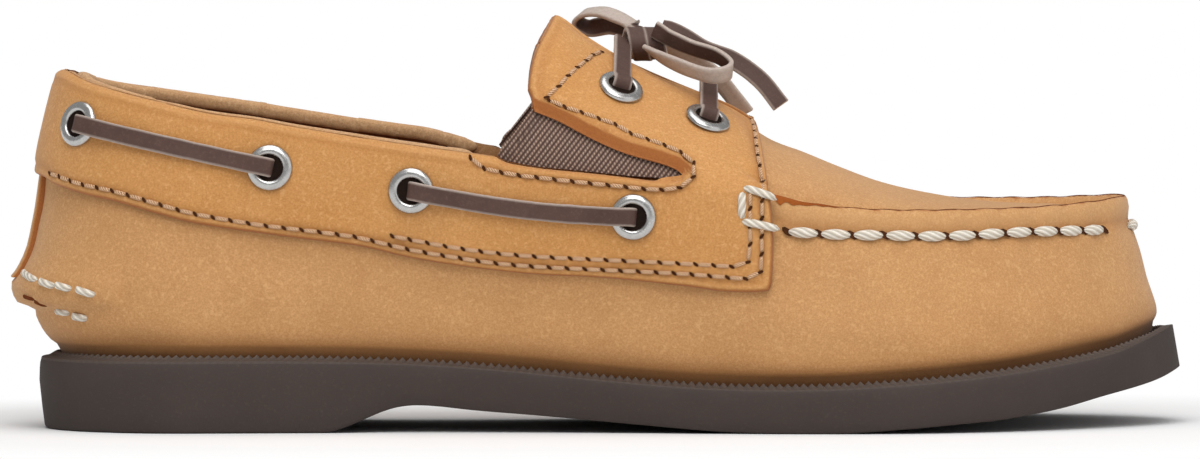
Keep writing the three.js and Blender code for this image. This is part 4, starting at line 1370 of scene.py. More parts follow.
@dataclass
class Outsole:
    """The moulded sole: drafted side, underside with heel and arch, and the serrated welt strip."""

    sizes: Sizes
    last: Last
    shop: Workshop
    columns: int = 960
    teeth: int = 320
    tooth_points: int = 8
    tooth_rise: float = 0.85
    welt_rise: float = 0.75
    welt_inset: float = 0.35
    toe_flare: float = 1.5

    BODY_RINGS = (
        # share of the wall's height, inset
        (0.0, 1.8), (0.02, 1.3), (0.05, 1.1), (0.3, 0.605), (0.68, 0.0), (0.85, 0.08), (0.93, 0.2),
        (0.98, 0.42), (1.0, 0.75),
    )
    WELT_RINGS = (
        # share across the ledge, share of the teeth, drop
        (0.0, 0.0, -0.9), (0.02, 0.0, -0.25), (0.06, 0.0, 0.0), (0.3, 0.0, 0.0), (0.42, 0.1, 0.0),
        (0.7, 0.8, 0.0), (0.8, 1.0, 0.0), (0.88, 0.9, -0.2), (0.97, 0.0, -1.2),
    )

    def loop(self, inset: float, count: int) -> Array:
        """Plan of the sole's outline drawn in by an inset.

        Formula: half width less the inset, both ends rounded, x by the cosine of the turn.

        Args:
            inset: how far in.
            count: how many points.

        Returns:
            Rows of x and y from the heel along the outer side.
        """
        j = np.arange(count)
        i = np.minimum(j, count - j)
        heel, toe = self.last.heel_x + inset, self.last.toe_x - inset
        x = heel + (toe - heel) * (1 - np.cos(2 * np.pi * i / count)) / 2
        half = self.last.rounded(x, heel, toe, self.last.sole_half(x) - inset)
        half = np.where((i == 0) | (i == count // 2), 0.0, half)
        return np.stack([x, self.last.swing(x) + np.where(j <= count // 2, -1.0, 1.0) * half], axis=-1)

    def flared(self, plan: Array, toe: Array) -> Array:
        """One outline with the toe's end of another."""
        at_toe = smooth_step(self.last.x_at(0.93), self.last.x_at(0.985), toe[:, :1])
        return plan * (1 - at_toe) + toe * at_toe

    def underside(self, x: Array) -> Array:
        """Height of the sole's underside."""
        return self.sizes.heel_height * np.clip(spline(SOLE_UNDERSIDE, 1)(self.last.along(x)), 0, None)

    def body(self) -> bpy.types.Object:
        """The side wall and underside.

        Formula: rings at shares of the wall's height; the underside blends each point to its twin across.

        Returns:
            The piece.
        """
        n, rings = self.columns, []
        for share, inset in self.BODY_RINGS:
            plan = self.flared(self.loop(inset, n), self.loop(self.toe_flare * share, n))
            low, high = self.underside(plan[:, 0]), self.last.sole_top(plan[:, 0])
            rings.append(np.c_[plan, low + (high - low) * share])
        plan = self.loop(self.sizes.ledge_width + 0.6, n)
        rings.append(np.c_[plan, self.last.sole_top(plan[:, 0]) + 0.3])
        side = np.array(rings)
        first = rings[0]
        twin = first[(-np.arange(n)) % n]
        below = []
        for share in np.linspace(0.5, 0, 13):
            row = first * (1 - share) + twin * share
            row[:, 2] = self.underside(row[:, 0])
            below.append(row)
        points = np.concatenate([np.concatenate(below[:-1]), side.reshape(-1, 3)])
        faces = triangles(grid_faces(len(below) - 1 + len(rings), n, closed=True))
        kept, faces = weld(points, faces)
        return self.shop.piece("sole_body", points[kept], faces, RubberFinish(), Slot.SOLE, ["outsole"],
                               {"pale": np.zeros(len(kept))}, sharp=38)

    def welt(self) -> bpy.types.Object:
        """The strip that slopes up to the upper and ends in a row of teeth, paler on top as a painted
        highlight.

        Formula: rings across the ledge; the last ones rise by a triangle wave that fades near the toe tip.

        Returns:
            The piece.
        """
        n = self.teeth * self.tooth_points
        around = self.loop(2.0, n)
        length = arc_length(around)
        stops = np.linspace(0, length[-1] + np.linalg.norm(around[0] - around[-1]), n, endpoint=False)
        numbers = np.arange(n + 1)
        index = np.interp(stops, np.append(length, stops[-1] + 1), numbers)
        phase = (np.arange(n) % self.tooth_points) / self.tooth_points
        wave = 1 - np.abs(2 * phase - 1)
        rings, pale = [], []
        insets = (self.welt_inset, self.welt_inset + self.toe_flare)
        for across, teeth, drop in self.WELT_RINGS:
            plan = self.flared(*(self.loop(i + (self.sizes.ledge_width - i) * across, n) for i in insets))
            plan = np.stack([np.interp(index, numbers, np.append(c, c[0])) for c in plan.T], -1)
            fade = 1 - 0.85 * smooth_step(self.last.x_at(0.955), self.last.x_at(0.995), plan[:, 0])
            height = self.last.sole_top(plan[:, 0]) + 0.1 + self.welt_rise * across + drop
            rings.append(np.c_[plan, height + teeth * self.tooth_rise * fade * (wave - 0.15)])
            # painted highlight: the strip paler where it faces up, the teeth's tips palest
            pale.append(np.full(n, 0.5 + 0.5 * teeth) * (0.6 + 0.4 * wave))
        points = np.array(rings).reshape(-1, 3)
        faces = triangles(grid_faces(len(rings), n, closed=True))
        return self.shop.piece("sole_welt", points, faces, RubberFinish(), Slot.SOLE, [],
                               {"pale": np.concatenate(pale)}, sharp=32)

    def sock(self) -> bpy.types.Object:
        """The sock inside: a board with a soft rolled edge.

        Formula: rings drawn in step by step, then rows blended across to the other side.

        Returns:
            The piece.
        """
        n, s = 480, self.sizes
        inset = s.ledge_width + s.leather_wall + 3 * s.seat_gap
        rows = []
        for inner, rise in [(0.3, s.seat_gap), (0.0, 0.9), (0.0, 2.0), (0.4, 2.6), (1.2, 2.9)]:
            plan = self.loop(inset + inner, n)
            rows.append(np.c_[plan, self.last.sole_top(plan[:, 0]) + s.ledge_rise + rise])
        top = rows[-1]
        twin = top[(-np.arange(n)) % n]
        for share in np.linspace(0, 0.5, 14)[1:]:
            row = top * (1 - share) + twin * share
            rows.append(row - np.array([0, 0, 0.5]) * np.sin(np.pi * share))
        points = np.concatenate(rows)
        kept, faces = weld(points, triangles(grid_faces(len(rows), n, closed=True)))
        finish = NubuckFinish("sock_leather", "B58553", "C6986A", "8E6238")
        return self.shop.piece("sock_lining", points[kept], faces, finish, Slot.SOCK, ["insole"],
                               {mask: np.zeros(len(kept)) for mask in ("edge", "burnish_and_shade", "light")})

    def build(self) -> None:
        """Builds all pieces of the sole."""
        self.body()
        self.welt()
        self.sock()


@dataclass
class Uppers:
    """The leather pieces over the last: upper, lining, saddle, tongue and backstay."""

    sizes: Sizes
    last: Last
    lines: Outlines
    shop: Workshop
    foot_drop: float = 1.6
    lining_depth: float = 1.45
    nub_reach: float = 5.2
    bulge_reach: float = 1.9
    backstay_half: float = 4.2
    backstay_thick: float = 1.2

    NUB_PROFILE = np.array([
        # z, share of the reach
        (26.6, 0.0), (27.3, 0.4), (28.2, 0.86), (29.4, 1.0), (31.4, 1.0), (32.6, 0.93), (33.4, 0.76),
        (34.4, 0.5), (35.5, 0.33), (37.5, 0.14), (39.7, 0.03), (42.0, 0.0),
    ])
    SADDLE_NUBUCK = NubuckFinish("saddle_nubuck", "C68E50", "D8A66E", "A4682F")

    def seam_phase(self, x: Array) -> Array:
        """Wave of the puckers under the seam's stitches, from 0 at a stitch's end to 1 at its middle."""
        return 0.5 - 0.5 * np.cos(2 * np.pi * (x - MOC_ROW[0, 0]) / MOC_PITCH)

    def nub(self, base: Array) -> Array:
        """Height of the pinched nub and the bulge under it: profiles over height, faded round the heel.

        Args:
            base: corners on the last.

        Returns:
            Heights.
        """
        z = base[:, 2]
        profile = np.interp(z, *self.NUB_PROFILE.T)
        round_heel = np.clip(1 - (base[:, 0] - self.last.heel_x + 1.5) / 20.5, 0, 1)
        low = self.bulge_reach * smooth_step(16.0, 20.5, z) * (1 - smooth_step(25.5, 28.0, z))
        return self.nub_reach * profile * round_heel**0.75 + low * round_heel

    def relief(self, base: Array, where: Array) -> Array:
        """Height of the upper's face: the heel's pinched nub, puckers at the seam and soft creases.

        Formula: a profile over height faded round the heel, cosine puckers faded from the seam, and noise.

        Args:
            base: corners on the last.
            where: their turn and level.

        Returns:
            Heights.
        """
        x, z, level = base[:, 0], base[:, 2], where[:, 1]
        round_heel = np.clip(1 - (x - self.last.heel_x) / 19.0, 0, 1)
        front = self.last.ridge_share(x)
        below = np.exp(-((level - 1) / np.where(level <= 1, 0.2, 0.5)) ** 2)
        pucker = -0.35 * self.seam_phase(x) * below * front
        inner = np.exp(-((level - 2.12) / 0.13) ** 2) * front
        pucker = pucker - 0.8 * self.seam_phase(x) * inner
        groove = -0.6 * np.exp(-((level - 0.99) / 0.05) ** 2) * front
        creases = 0.28 * (noise(base * np.array([1.0, 0.5, 1.6]), 19.0, 3) - 0.5) * (level < 0.95)
        foot = -0.8 * np.exp(-np.clip(z - self.last.feather(x), 0, None) / 1.6) * (1 - round_heel)
        return self.nub(base) + pucker + groove + creases + foot

    def shading(self, points: Array, masks: dict[str, Array]) -> dict[str, Array]:
        """Masks for the finish: raw edges, handling marks, painted shade at the wall's foot and in the seam's
        groove, and a paler band above the seam.

        Args:
            points: corners.
            masks: the patch's own masks.

        Returns:
            edge, burnish and light.
        """
        level, x, z = masks["level"], points[:, 0], points[:, 2]
        front = self.last.ridge_share(x)
        wobble = noise(points, 3.0, 11) - 0.5
        crest = 1.7 * np.exp(-((level - RIDGE_CREST) / (0.11 + 0.08 * wobble)) ** 2)
        crest = np.clip(crest, 0, 1) * front
        # painted shadow on the wall, darkest at its foot next to the sole
        floor = 1.9 * np.exp(-np.clip(z - self.last.feather(x) - 0.6, 0, None) / 2.3)
        # painted shade in the groove at the raised seam's foot
        seam = np.exp(-((level - 1.0) / 0.07) ** 2) * front
        burnish_and_shade = np.clip(0.55 * floor + 0.55 * seam + 0.5 * np.exp(-masks["inside"] / 1.2), 0, 1)
        light = np.exp(-((level - 1.12) / 0.1) ** 2) * front * 0.6
        edge = np.maximum(masks["edge"] * self.lines.folded(points), crest)
        return {"edge": edge * (level > 0.02), "burnish_and_shade": burnish_and_shade, "light": light}

    def upper(self) -> bpy.types.Object:
        """The quarters, vamp wall, raised seam and plug in one shell.

        Returns:
            The piece.
        """
        patch = Patch.over(self.last, np.linspace(-1, 1, 761), level_rows(0, 50, 13, 40))
        patch = patch.trimmed(self.lines.upper, (0.3, 0.8))
        points, faces, masks = patch.shell(
            self.lines.upper,
            lambda base, where, inside: self.relief(base, where) - rounded_edge(inside, 0.7), -1.5)
        at_foot = masks["level"] < 0.004
        points[:, 2] -= self.foot_drop * at_foot
        return self.shop.piece("upper_leather", points, faces, NubuckFinish(), Slot.LEATHER, ["upper"],
                               self.shading(points, masks))

    def lining(self) -> bpy.types.Object:
        """The inside face of the upper.

        Returns:
            The piece.
        """
        patch = Patch.over(self.last, np.linspace(-1, 1, 401), level_rows(0, 30, 6, 26))
        patch = patch.trimmed(self.lines.lining, (0.4,))
        points, faces, masks = patch.shell(
            self.lines.lining, lambda base, where, inside: np.full(len(base), -self.lining_depth),
            -self.sizes.leather_wall, back=True)
        finish = NubuckFinish("lining_leather", "B9895A", "CBA27A", "8A5D36", "7A4A26")
        # on the lining, burnish is painted shade just under the collar roll
        shade = {"edge": masks["edge"] * self.lines.folded(points), "light": np.zeros(len(points)),
                 "burnish_and_shade": np.exp(-((self.lines.below_collar(points) - 3.9) / 1.5) ** 2)}
        return self.shop.piece("upper_lining", points, faces, finish, Slot.LEATHER, [], shade)

    def saddle(self) -> bpy.types.Object:
        """The collar band and saddle laid over the upper, with thick raw edges.

        Returns:
            The piece.
        """
        top, bare = self.sizes.overlay_top, (1.8, 2.15)
        patch = Patch.over(self.last, np.linspace(-0.66, 0.66, 701), level_rows(0.3, 46, 6, 46), top)
        patch = patch.trimmed(self.lines.saddle_piece, (0.3, 0.8, 1.4))
        for gap in bare:
            patch = patch.cut(lambda points, where: np.clip(self.lines.over_gore(points), 0, 5), gap,
                              keep_both=True)

        def height(base: Array, where: Array, inside: Array) -> Array:
            """Flat leather with a rounded edge, sunk a little along its seam, and soft waves."""
            seam = 0.35 * np.exp(-((inside - 2.1) / 0.8) ** 2)
            waves = 0.2 * (noise(base, 16.0, 21) - 0.5)
            raised = self.last.raised(where[:, 0], where[:, 1], top)
            gore = self.lines.over_gore(raised)
            bevel = np.where(gore < 2.2, 0.75 * np.clip(2.2 - gore, 0, 1.9), 0.0)
            folded = self.lines.folded(raised)
            heel = np.clip(1 - (base[:, 0] - self.last.heel_x) / 22.0, 0, 1)
            flare = 0.5 * heel * np.exp(-((base[:, 2] - 59.0) / 6.0) ** 2)
            round_off = np.where(folded > 0.5, rounded_edge(inside, 1.5), rounded_edge(inside, 2.2))
            return top + waves + flare - seam * (gore > 2.2) * folded - np.maximum(round_off, bevel)

        points, faces, masks = patch.shell(self.lines.saddle_piece, height, self.sizes.overlay_gap - 0.1)
        raw = 1 - smooth_step(0.3, 0.8, masks["inside"])
        over = self.lines.over_gore(points)
        band = 1 - smooth_step(*bare, over)
        under = (-outline_distance(points[:, [0, 2]], self.lines.gore) < 1.2) & (over == self.lines.FAR)
        edge = np.maximum(masks["edge"], raw * 0.85) * np.where(under, 0.3, 1.0)
        edge = np.maximum(edge, band) * self.lines.folded(points)
        # on the saddle, burnish is painted shade along the groove of its sunk seam
        masks_out = {"edge": edge, "burnish_and_shade": 0.35 * np.exp(-((masks["inside"] - 2.1) / 1.1) ** 2),
                     "light": 0.5 * np.exp(-((masks["inside"] - 1.3) / 0.4) ** 2)}
        return self.shop.piece("saddle_leather", points, faces, self.SADDLE_NUBUCK, Slot.SADDLE, ["saddle"],
                               masks_out)

    def tongue(self) -> bpy.types.Object:
        """The strip between the two flaps.

        Formula: two bands of the last, one a side, that meet along the crown, cut to the tongue's outline.

        Returns:
            The piece.
        """
        levels = np.concatenate([np.linspace(1, 2, 5), np.linspace(2, 3, 40)[1:]])
        turns = np.concatenate([np.linspace(-0.62, -0.3, 200), np.linspace(0.3, 0.62, 200)])
        patch = Patch.over(self.last, turns, levels)
        column, split = patch.faces % len(turns), len(turns) // 2 - 1
        across = (column == split).any(axis=1) & (column == split + 1).any(axis=1)
        patch = Patch(self.last, patch.where, patch.faces[~across]).trimmed(self.lines.tongue, (0.3, 0.8))
        points, faces, masks = patch.shell(
            self.lines.tongue, lambda base, where, inside: 0.2 * (noise(base, 9.0, 31) - 0.5)
            - rounded_edge(inside, 0.8), -self.sizes.leather_wall, back=True)
        return self.shop.piece("tongue_leather", points, faces, self.SADDLE_NUBUCK, Slot.SADDLE, ["tongue"],
                               {"edge": masks["edge"], "burnish_and_shade": np.exp(-masks["inside"] / 1.4) * 0.5,
                                "light": np.zeros(len(points))})

    def backstay(self) -> bpy.types.Object:
        """The narrow strip over the closing seam at the heel.

        Returns:
            The piece.
        """
        low, high = 33.5, 59.0

        def distance(points: Array, where: Array) -> Array:
            """Distance inside the strip, above the nub and below the saddle."""
            across = self.backstay_half - np.abs(points[:, 1])
            return np.minimum.reduce([across, points[:, 2] - low, high - points[:, 2]])

        patch = Patch.over(self.last, np.linspace(-0.12, 0.12, 61), np.linspace(0.2, 0.9, 60))
        patch = patch.trimmed(distance, (0.3, 0.7))
        points, faces, masks = patch.shell(
            distance, lambda base, where, inside: self.nub(base) + self.backstay_thick
            - rounded_edge(inside, 0.5), -0.3)
        return self.shop.piece("backstay_leather", points, faces, NubuckFinish(), Slot.LEATHER, ["backstay"],
                               {"edge": masks["edge"], "burnish_and_shade": np.exp(-masks["inside"] / 0.8) * 0.6,
                                "light": np.zeros(len(points))})

    def build(self) -> None:
        """Builds all leather pieces."""
        self.upper()
        self.lining()
        self.saddle()
        self.tongue()
        self.backstay()


@dataclass
class Gores:
    """Elastic webbing set between the saddle's flap and band on each side."""

    sizes: Sizes
    last: Last
    lines: Outlines
    shop: Workshop
    thickness: float = 1.3

    ACROSS, ALONG = np.array([0.78, -0.62]), np.array([0.62, 0.78])  # the weave's ways in the side view

    def panel(self, side: Side) -> bpy.types.Object:
        """One gore.

        Formula: the last's surface inside the gore's outline, a little under its face, UV in millimetres.

        Args:
            side: which side.

        Returns:
            The piece.
        """
        turns, gap, name = side.value * np.linspace(0.3, 0.56, 180), self.sizes.seat_gap, side.name.lower()
        patch = Patch.over(self.last, np.sort(turns), level_rows(0.75, 18, 8, 50), -gap)
        patch = patch.trimmed(self.lines.webbing, (0.5,))
        points, faces, _ = patch.shell(
            self.lines.webbing, lambda base, where, inside: np.full(len(base), -gap), -gap - self.thickness,
            back=True)
        view = points[:, [0, 2]]
        uv = np.stack([view @ self.ACROSS, view @ self.ALONG], axis=-1)
        rear = (view - self.lines.selvage[0]) @ self.ACROSS
        selvage = np.exp(-((rear - 1.5) / 0.28) ** 2) + 0.6 * np.exp(-((rear - 2.6) / 0.28) ** 2)
        return self.shop.piece(f"gore_webbing_{name}", points, faces, WebbingFinish(), Slot.ELASTIC,
                               [f"gore_{name}"], {"edge": np.clip(selvage, 0, 1)}, uv)

    def build(self) -> None:
        """Builds both gores."""
        for side in Side:
            self.panel(side)


@dataclass(frozen=True)
class Stitch:
    """A kind of stitch: half thickness, height of its middle, depth of its ends, share left free at an end.

    rings counts its sections, sides the corners of one; taper says how late it narrows towards its ends.
    """

    finish: Finish
    radius: float
    arch: float
    sink: float
    gap: float = 0.0
    rings: int = 9
    sides: int = 6
    taper: float = 5.0


@dataclass
class Sewing:
    """Threads: thick waxed stitches and fine machine stitches with their needle holes."""

    sizes: Sizes
    last: Last
    shop: Workshop
    nub: Callable[[Array], Array]
    face: Callable[[Array, Array], Array]
    machine_pitch: float = 3.9
    wedge_reach: float = 0.13
    wedge_spread: float = 0.27

    WAXED = ThreadFinish("waxed_thread", "EDE6D9", "C3B8A7", 1.25, 0.5)
    MACHINE = Stitch(ThreadFinish("machine_thread", "F0CBA8", "B58458", 0.7), 0.46, 0.14, 0.4, 0.07)
    MOC = Stitch(WAXED, 1.2, 0.05, 0.7, -0.03, rings=15, sides=10, taper=1.9)
    BOX = Stitch(WAXED, 0.9, 0.25, 0.8, rings=11, sides=8)
    HEEL = Stitch(WAXED, 0.85, 0.25, 0.8, rings=11, sides=8)
    TEAR = Stitch(RidgeFinish(), 0.42, 0.25, 0.8, rings=11, sides=8)

    @staticmethod
    def threads(starts: Array, ends: Array, normals: Array, stitch: Stitch) -> tuple[Array, Array, Array]:
        """Meshes of stitches.

        Formula: a line from start to end raised by arch times a flat-topped bow, its ends sunk, with a
        round section that narrows at the ends.

        Args:
            starts: where each stitch starts.
            ends: where it ends.
            normals: outward directions.
            stitch: the kind of stitch.

        Returns:
            Corners, triangles and UV in millimetres.
        """
        t = np.linspace(0, 1, stitch.rings)
        bow = 1 - np.abs(2 * t - 1) ** 4
        centre = (starts[:, None] * (1 - t)[None, :, None] + ends[:, None] * t[None, :, None]
                  + normals[:, None] * (stitch.arch * bow - stitch.sink * (1 - bow))[None, :, None])
        along = unit(ends - starts)
        across = unit(np.cross(along, normals))
        angle = angles(stitch.sides)
        size = stitch.radius * np.clip(1 - np.abs(2 * t - 1) ** stitch.taper, 0.02, 1) ** 0.7
        ring = (across[:, None, None] * np.cos(angle)[None, None, :, None]
                + normals[:, None, None] * np.sin(angle)[None, None, :, None])
        points = centre[:, :, None] + ring * size[None, :, None, None]
        faces = copies(tube_faces(stitch.rings, stitch.sides), len(starts), stitch.rings * stitch.sides)
        length = np.linalg.norm(ends - starts, axis=1)
        u = np.broadcast_to((length[:, None] * t[None])[:, :, None], points.shape[:3])
        v = np.broadcast_to((angle * stitch.radius)[None, None], points.shape[:3])
        return points.reshape(-1, 3), faces, np.stack([u.ravel(), v.ravel()], axis=-1)

    def between(self, name: str, places: Array, normals: Array, stitch: Stitch, slot: Slot) -> None:
        """Stitches from each place of a row to the next.

        Formula: each runs from place to place less the stitch's gap, a share of the step, at both ends.

        Args:
            name: the piece's name.
            places: places of the needle.
            normals: outward directions.
            stitch: the kind of stitch.
            slot: the record's slot.
        """
        free = (places[1:] - places[:-1]) * stitch.gap
        middle = unit(normals[1:] + normals[:-1])
        points, faces, uv = self.threads(places[:-1] + free, places[1:] - free, middle, stitch)
        self.shop.piece(name, points, faces, stitch.finish, slot, uv=uv)

    def row(self, line: Array, side: Side, lift: float, pitch: float) -> tuple[Array, Array]:
        """Even places along a sewn line on the leather.

        Formula: the smooth line is laid on the last, kept beside the throat, and parted by length.

        Args:
            line: the line in the side view.
            side: which side.
            lift: height of the leather's face.
            pitch: distance between places.

        Returns:
            Points and outward directions.
        """
        view = smooth_line(line, 1.2)
        turn, level = self.last.locate(view, side, lift)
        points = self.last.raised(turn, level, lift)
        beside = np.abs(points[:, 1] + 0.3 * self.sizes.toe_swing) > self.sizes.throat_half_gap + 1.2
        found = beside & (np.hypot(*(points[:, [0, 2]] - view).T) < 0.5)
        turn, level, points = turn[found], level[found], points[found]
        length = arc_length(points)
        stops = even_stops(length, pitch)
        turn, level = np.interp(stops, length, turn), np.interp(stops, length, level)
        return self.last.raised(turn, level, lift), self.last.sample(turn, level)[1]

    def machine(self, name: str, line: Array, lift: float, slot: Slot = Slot.SADDLE) -> None:
        """Machine stitches with needle holes along a line, on both sides.

        Args:
            name: the line's name.
            line: the line in the side view.
            lift: height of the leather's face.
            slot: the record's slot.
        """
        for side in Side:
            places, normals = self.row(line, side, lift, self.machine_pitch)
            self.between(f"thread_{name}_{side.name.lower()}", places, normals, self.MACHINE, slot)
            self.holes(f"holes_{name}_{side.name.lower()}", places, normals, 0.5, slot)

    def holes(self, name: str, places: Array, normals: Array, radius: float, slot: Slot) -> None:
        """Needle holes: small dished slits on the leather, dark with painted shade.

        Formula: an oval rim slanted across the row and a centre a little lower.

        Args:
            name: the piece's name.
            places: centres.
            normals: outward directions.
            radius: half the mean size of a slit.
            slot: the record's slot.
        """
        sides = 8
        angle = angles(sides)
        along = unit(np.gradient(places, axis=0))
        slant = unit(along - 0.75 * np.cross(normals, along))
        other = np.cross(normals, slant)
        rim = (slant[:, None] * np.cos(angle)[None, :, None] * 1.5
               + other[:, None] * np.sin(angle)[None, :, None] * 0.75) * radius
        rim = places[:, None] + rim + normals[:, None] * 0.1
        centre = places[:, None] + normals[:, None] * 0.06
        points = np.concatenate([rim, centre], axis=1)
        faces = copies(fan_faces(sides), len(places), sides + 1)
        self.shop.piece(name, points.reshape(-1, 3), faces, HoleShadeFinish(), slot)

    def moc(self) -> None:
        """The thick stitches along the raised seam, with a slit of painted shade at each end."""
        for side in Side:
            places, normals = self.row(MOC_ROW, side, 0.0, MOC_PITCH)
            self.between(f"thread_moc_{side.name.lower()}", places, normals, self.MOC, Slot.LEATHER)
            self.holes(f"slits_moc_{side.name.lower()}", places, normals, 0.95, Slot.LEATHER)

    def moc_toe(self) -> None:
        """The same stitches round the toe, where the seam turns across.

        Formula: even places along the shoulder between the two side rows' ends.
        """
        ends = []
        for side in Side:
            turn, level = self.last.locate(MOC_ROW[-1:], side, 0.0)
            ends.append((float(turn[0]), float(level[0])))
        count = 60
        turns = np.concatenate([np.linspace(ends[0][0], -1, count), np.linspace(1, ends[1][0], count)[1:]])
        levels = np.full(len(turns), (ends[0][1] + ends[1][1]) / 2)
        length = arc_length(self.last.raised(turns, levels))
        unwrapped = np.concatenate([turns[:count], turns[count:] - 2])
        turn = np.interp(even_stops(length, MOC_PITCH), length, unwrapped)
        places, normals = self.last.sample(turn, np.full(len(turn), levels[0]))
        self.between("thread_moc_toe", places, normals, self.MOC, Slot.LEATHER)

    def ridge(self) -> None:
        """The dark line between the two layers along the ridge's top, with a raw wedge at the saddle.

        Formula: a ribbon of nine columns that follows the ridge round the toe, its lower half wider by a
        straight taper at both ends.
        """
        start = self.last.locate(np.array([[129.4, 50.3]]), Side.LATERAL, 0.3)[0][0]
        half = np.linspace(start, -1, 260)
        turns = np.concatenate([half, -half[::-1][1:]])
        gone = half - half[0]
        from_end = np.abs(np.concatenate([gone, gone[::-1][1:]])) / abs(gone[-1])
        wander = 0.012 * (noise(np.c_[40 * from_end, np.sign(turns), 0 * turns], 1.0, 61) - 0.5)
        width = 0.24 + 0.2 * noise(np.c_[60 * from_end, np.sign(turns), 0 * turns], 1.0, 62)
        raw = np.clip(1 - from_end / self.wedge_reach, 0, 1)
        rows = []
        crest = RIDGE_CREST + wander
        across = self.last.sample(turns, crest + 0.03)[0] - self.last.sample(turns, crest - 0.03)[0]
        per_level = np.linalg.norm(across, axis=1) / 0.06
        for column in np.linspace(-1, 1, 9):
            level = crest + column * width / per_level + self.wedge_spread * raw * min(column, 0.0)
            base, normal = self.last.sample(turns, level)
            lift = self.face(base, np.c_[turns, level]) + 0.14 - 0.09 * abs(column) + 0.14 * raw
            rows.append(base + normal * lift[:, None])
        points = np.array(rows).transpose(1, 0, 2).reshape(-1, 3)
        faces = triangles(grid_faces(len(turns), len(rows)))
        self.shop.piece("ridge_line", points, faces, RidgeFinish(), Slot.LEATHER,
                        masks={"edge": np.repeat(np.sqrt(raw), len(rows))})

    def single(self, name: str, pairs: Array, side: Side, lift: Callable[[Array], Array], stitch: Stitch,
               slot: Slot) -> None:
        """Single thick stitches between pairs of places in the side view.

        Formula: place on the last and height of its face are worked out in turn, three times.

        Args:
            name: the piece's name.
            pairs: rows of x, z, x, z.
            side: which side.
            lift: height of the leather's face at places on the last.
            stitch: the kind of stitch.
            slot: the record's slot.
        """
        ends = []
        for columns in ([0, 1], [2, 3]):
            height = np.zeros(len(pairs))
            for _ in range(3):
                turn, level = self.last.locate(pairs[:, columns], side, height)
                base, normal = self.last.sample(turn, level)
                height = lift(base)
            ends.append((base + normal * height[:, None], normal))
        normals = unit(ends[0][1] + ends[1][1])
        points, faces, uv = self.threads(ends[0][0], ends[1][0], normals, stitch)
        self.shop.piece(name, points, faces, stitch.finish, slot, uv=uv)

    def build(self) -> None:
        """Sews everything."""
        top = self.sizes.overlay_top
        self.machine("outer", OUTER_ROW, top)
        self.machine("inner", INNER_ROW, top)
        self.machine("gore", GORE_ROW, top)
        self.machine("flap", FLAP_ROW, top)
        self.moc()
        self.moc_toe()
        self.ridge()
        for side in Side:
            name = side.name.lower()
            self.single(f"thread_box_{name}", BOX_STITCHES, side, lambda base: np.full(len(base), top),
                        self.BOX, Slot.SADDLE)
            self.single(f"thread_heel_{name}", HEEL_STITCHES, side, lambda base: self.nub(base) + 0.2,
                        self.HEEL, Slot.LEATHER)
        self.single("nub_tear", NUB_TEAR, Side.LATERAL, lambda base: self.nub(base) - 0.15, self.TEAR,
                    Slot.LEATHER)


@dataclass
class Hardware:
    """The nickel eyelets."""

    sizes: Sizes
    last: Last
    shop: Workshop
    outer: float = 10.1
    hole: float = 5.5
    lift: float = 0.7

    def places(self, side: Side) -> tuple[Array, Array]:
        """Centres and directions of one side's eyelets, on the saddle's face."""
        view = self.last.side_view(EYELETS)
        turn, level = self.last.locate(view, side, self.sizes.overlay_top)
        return self.last.raised(turn, level, self.sizes.overlay_top), self.last.sample(turn, level)[1]

    def build(self) -> None:
        """One piece of six rings a side, and one of the discs of painted shade inside them.

        Formula: a half-round profile with a barrel, turned about each eyelet's direction.
        """
        bore, rim, sides = self.hole / 2, self.outer / 2, 40
        low = self.lift - 0.45
        profile = np.array([
            (bore, -3.6), (bore, 0.2), (bore + 0.1, low + 0.6), (bore + 0.4, low + 0.95),
            (bore + 0.9, low + 1.05), (rim - 0.8, low + 0.9), (rim - 0.3, low + 0.65),
            (rim - 0.05, low + 0.3), (rim, low), (rim - 0.3, low - 0.25), (bore + 0.5, low - 0.25),
            (bore + 0.5, -3.6),
        ])
        faces = grid_faces(len(profile), sides, closed=True)
        end = faces[:sides, :2] + (len(profile) - 1) * sides
        faces = np.concatenate([faces, np.c_[end, faces[:sides, 1], faces[:sides, 0]]])
        angle = angles(sides)
        for side in Side:
            centres, normals = self.places(side)
            across = unit(np.cross(normals, np.array([0.0, 0.3, 0.95])))
            other = np.cross(normals, across)
            ring = (across[:, None] * np.cos(angle)[None, :, None]
                    + other[:, None] * np.sin(angle)[None, :, None])
            points = (centres[:, None, None] + ring[:, None] * profile[None, :, 0, None, None]
                      + normals[:, None, None] * profile[None, :, 1, None, None])
            many = copies(faces, len(centres), len(profile) * sides)
            name = side.name.lower()
            self.shop.piece(f"eyelet_rings_{name}", points.reshape(-1, 3), many, NickelFinish(), Slot.NICKEL,
                            [f"eyelet_{name}_{k}" for k in range(1, len(EYELETS) + 1)], sharp=40)
            # discs of painted shade in the eyelets' bores
            disc = np.concatenate([centres[:, None] + ring * (bore + 0.2) + normals[:, None] * 0.75,
                                   centres[:, None] + normals[:, None] * 0.45], axis=1)
            fans = copies(fan_faces(sides), len(centres), sides + 1)
            self.shop.piece(f"eyelet_dark_{name}", disc.reshape(-1, 3), fans,
                            HoleShadeFinish("eyelet_dark", "1A120E", "0F0A08", "2A1D16"), Slot.SADDLE)


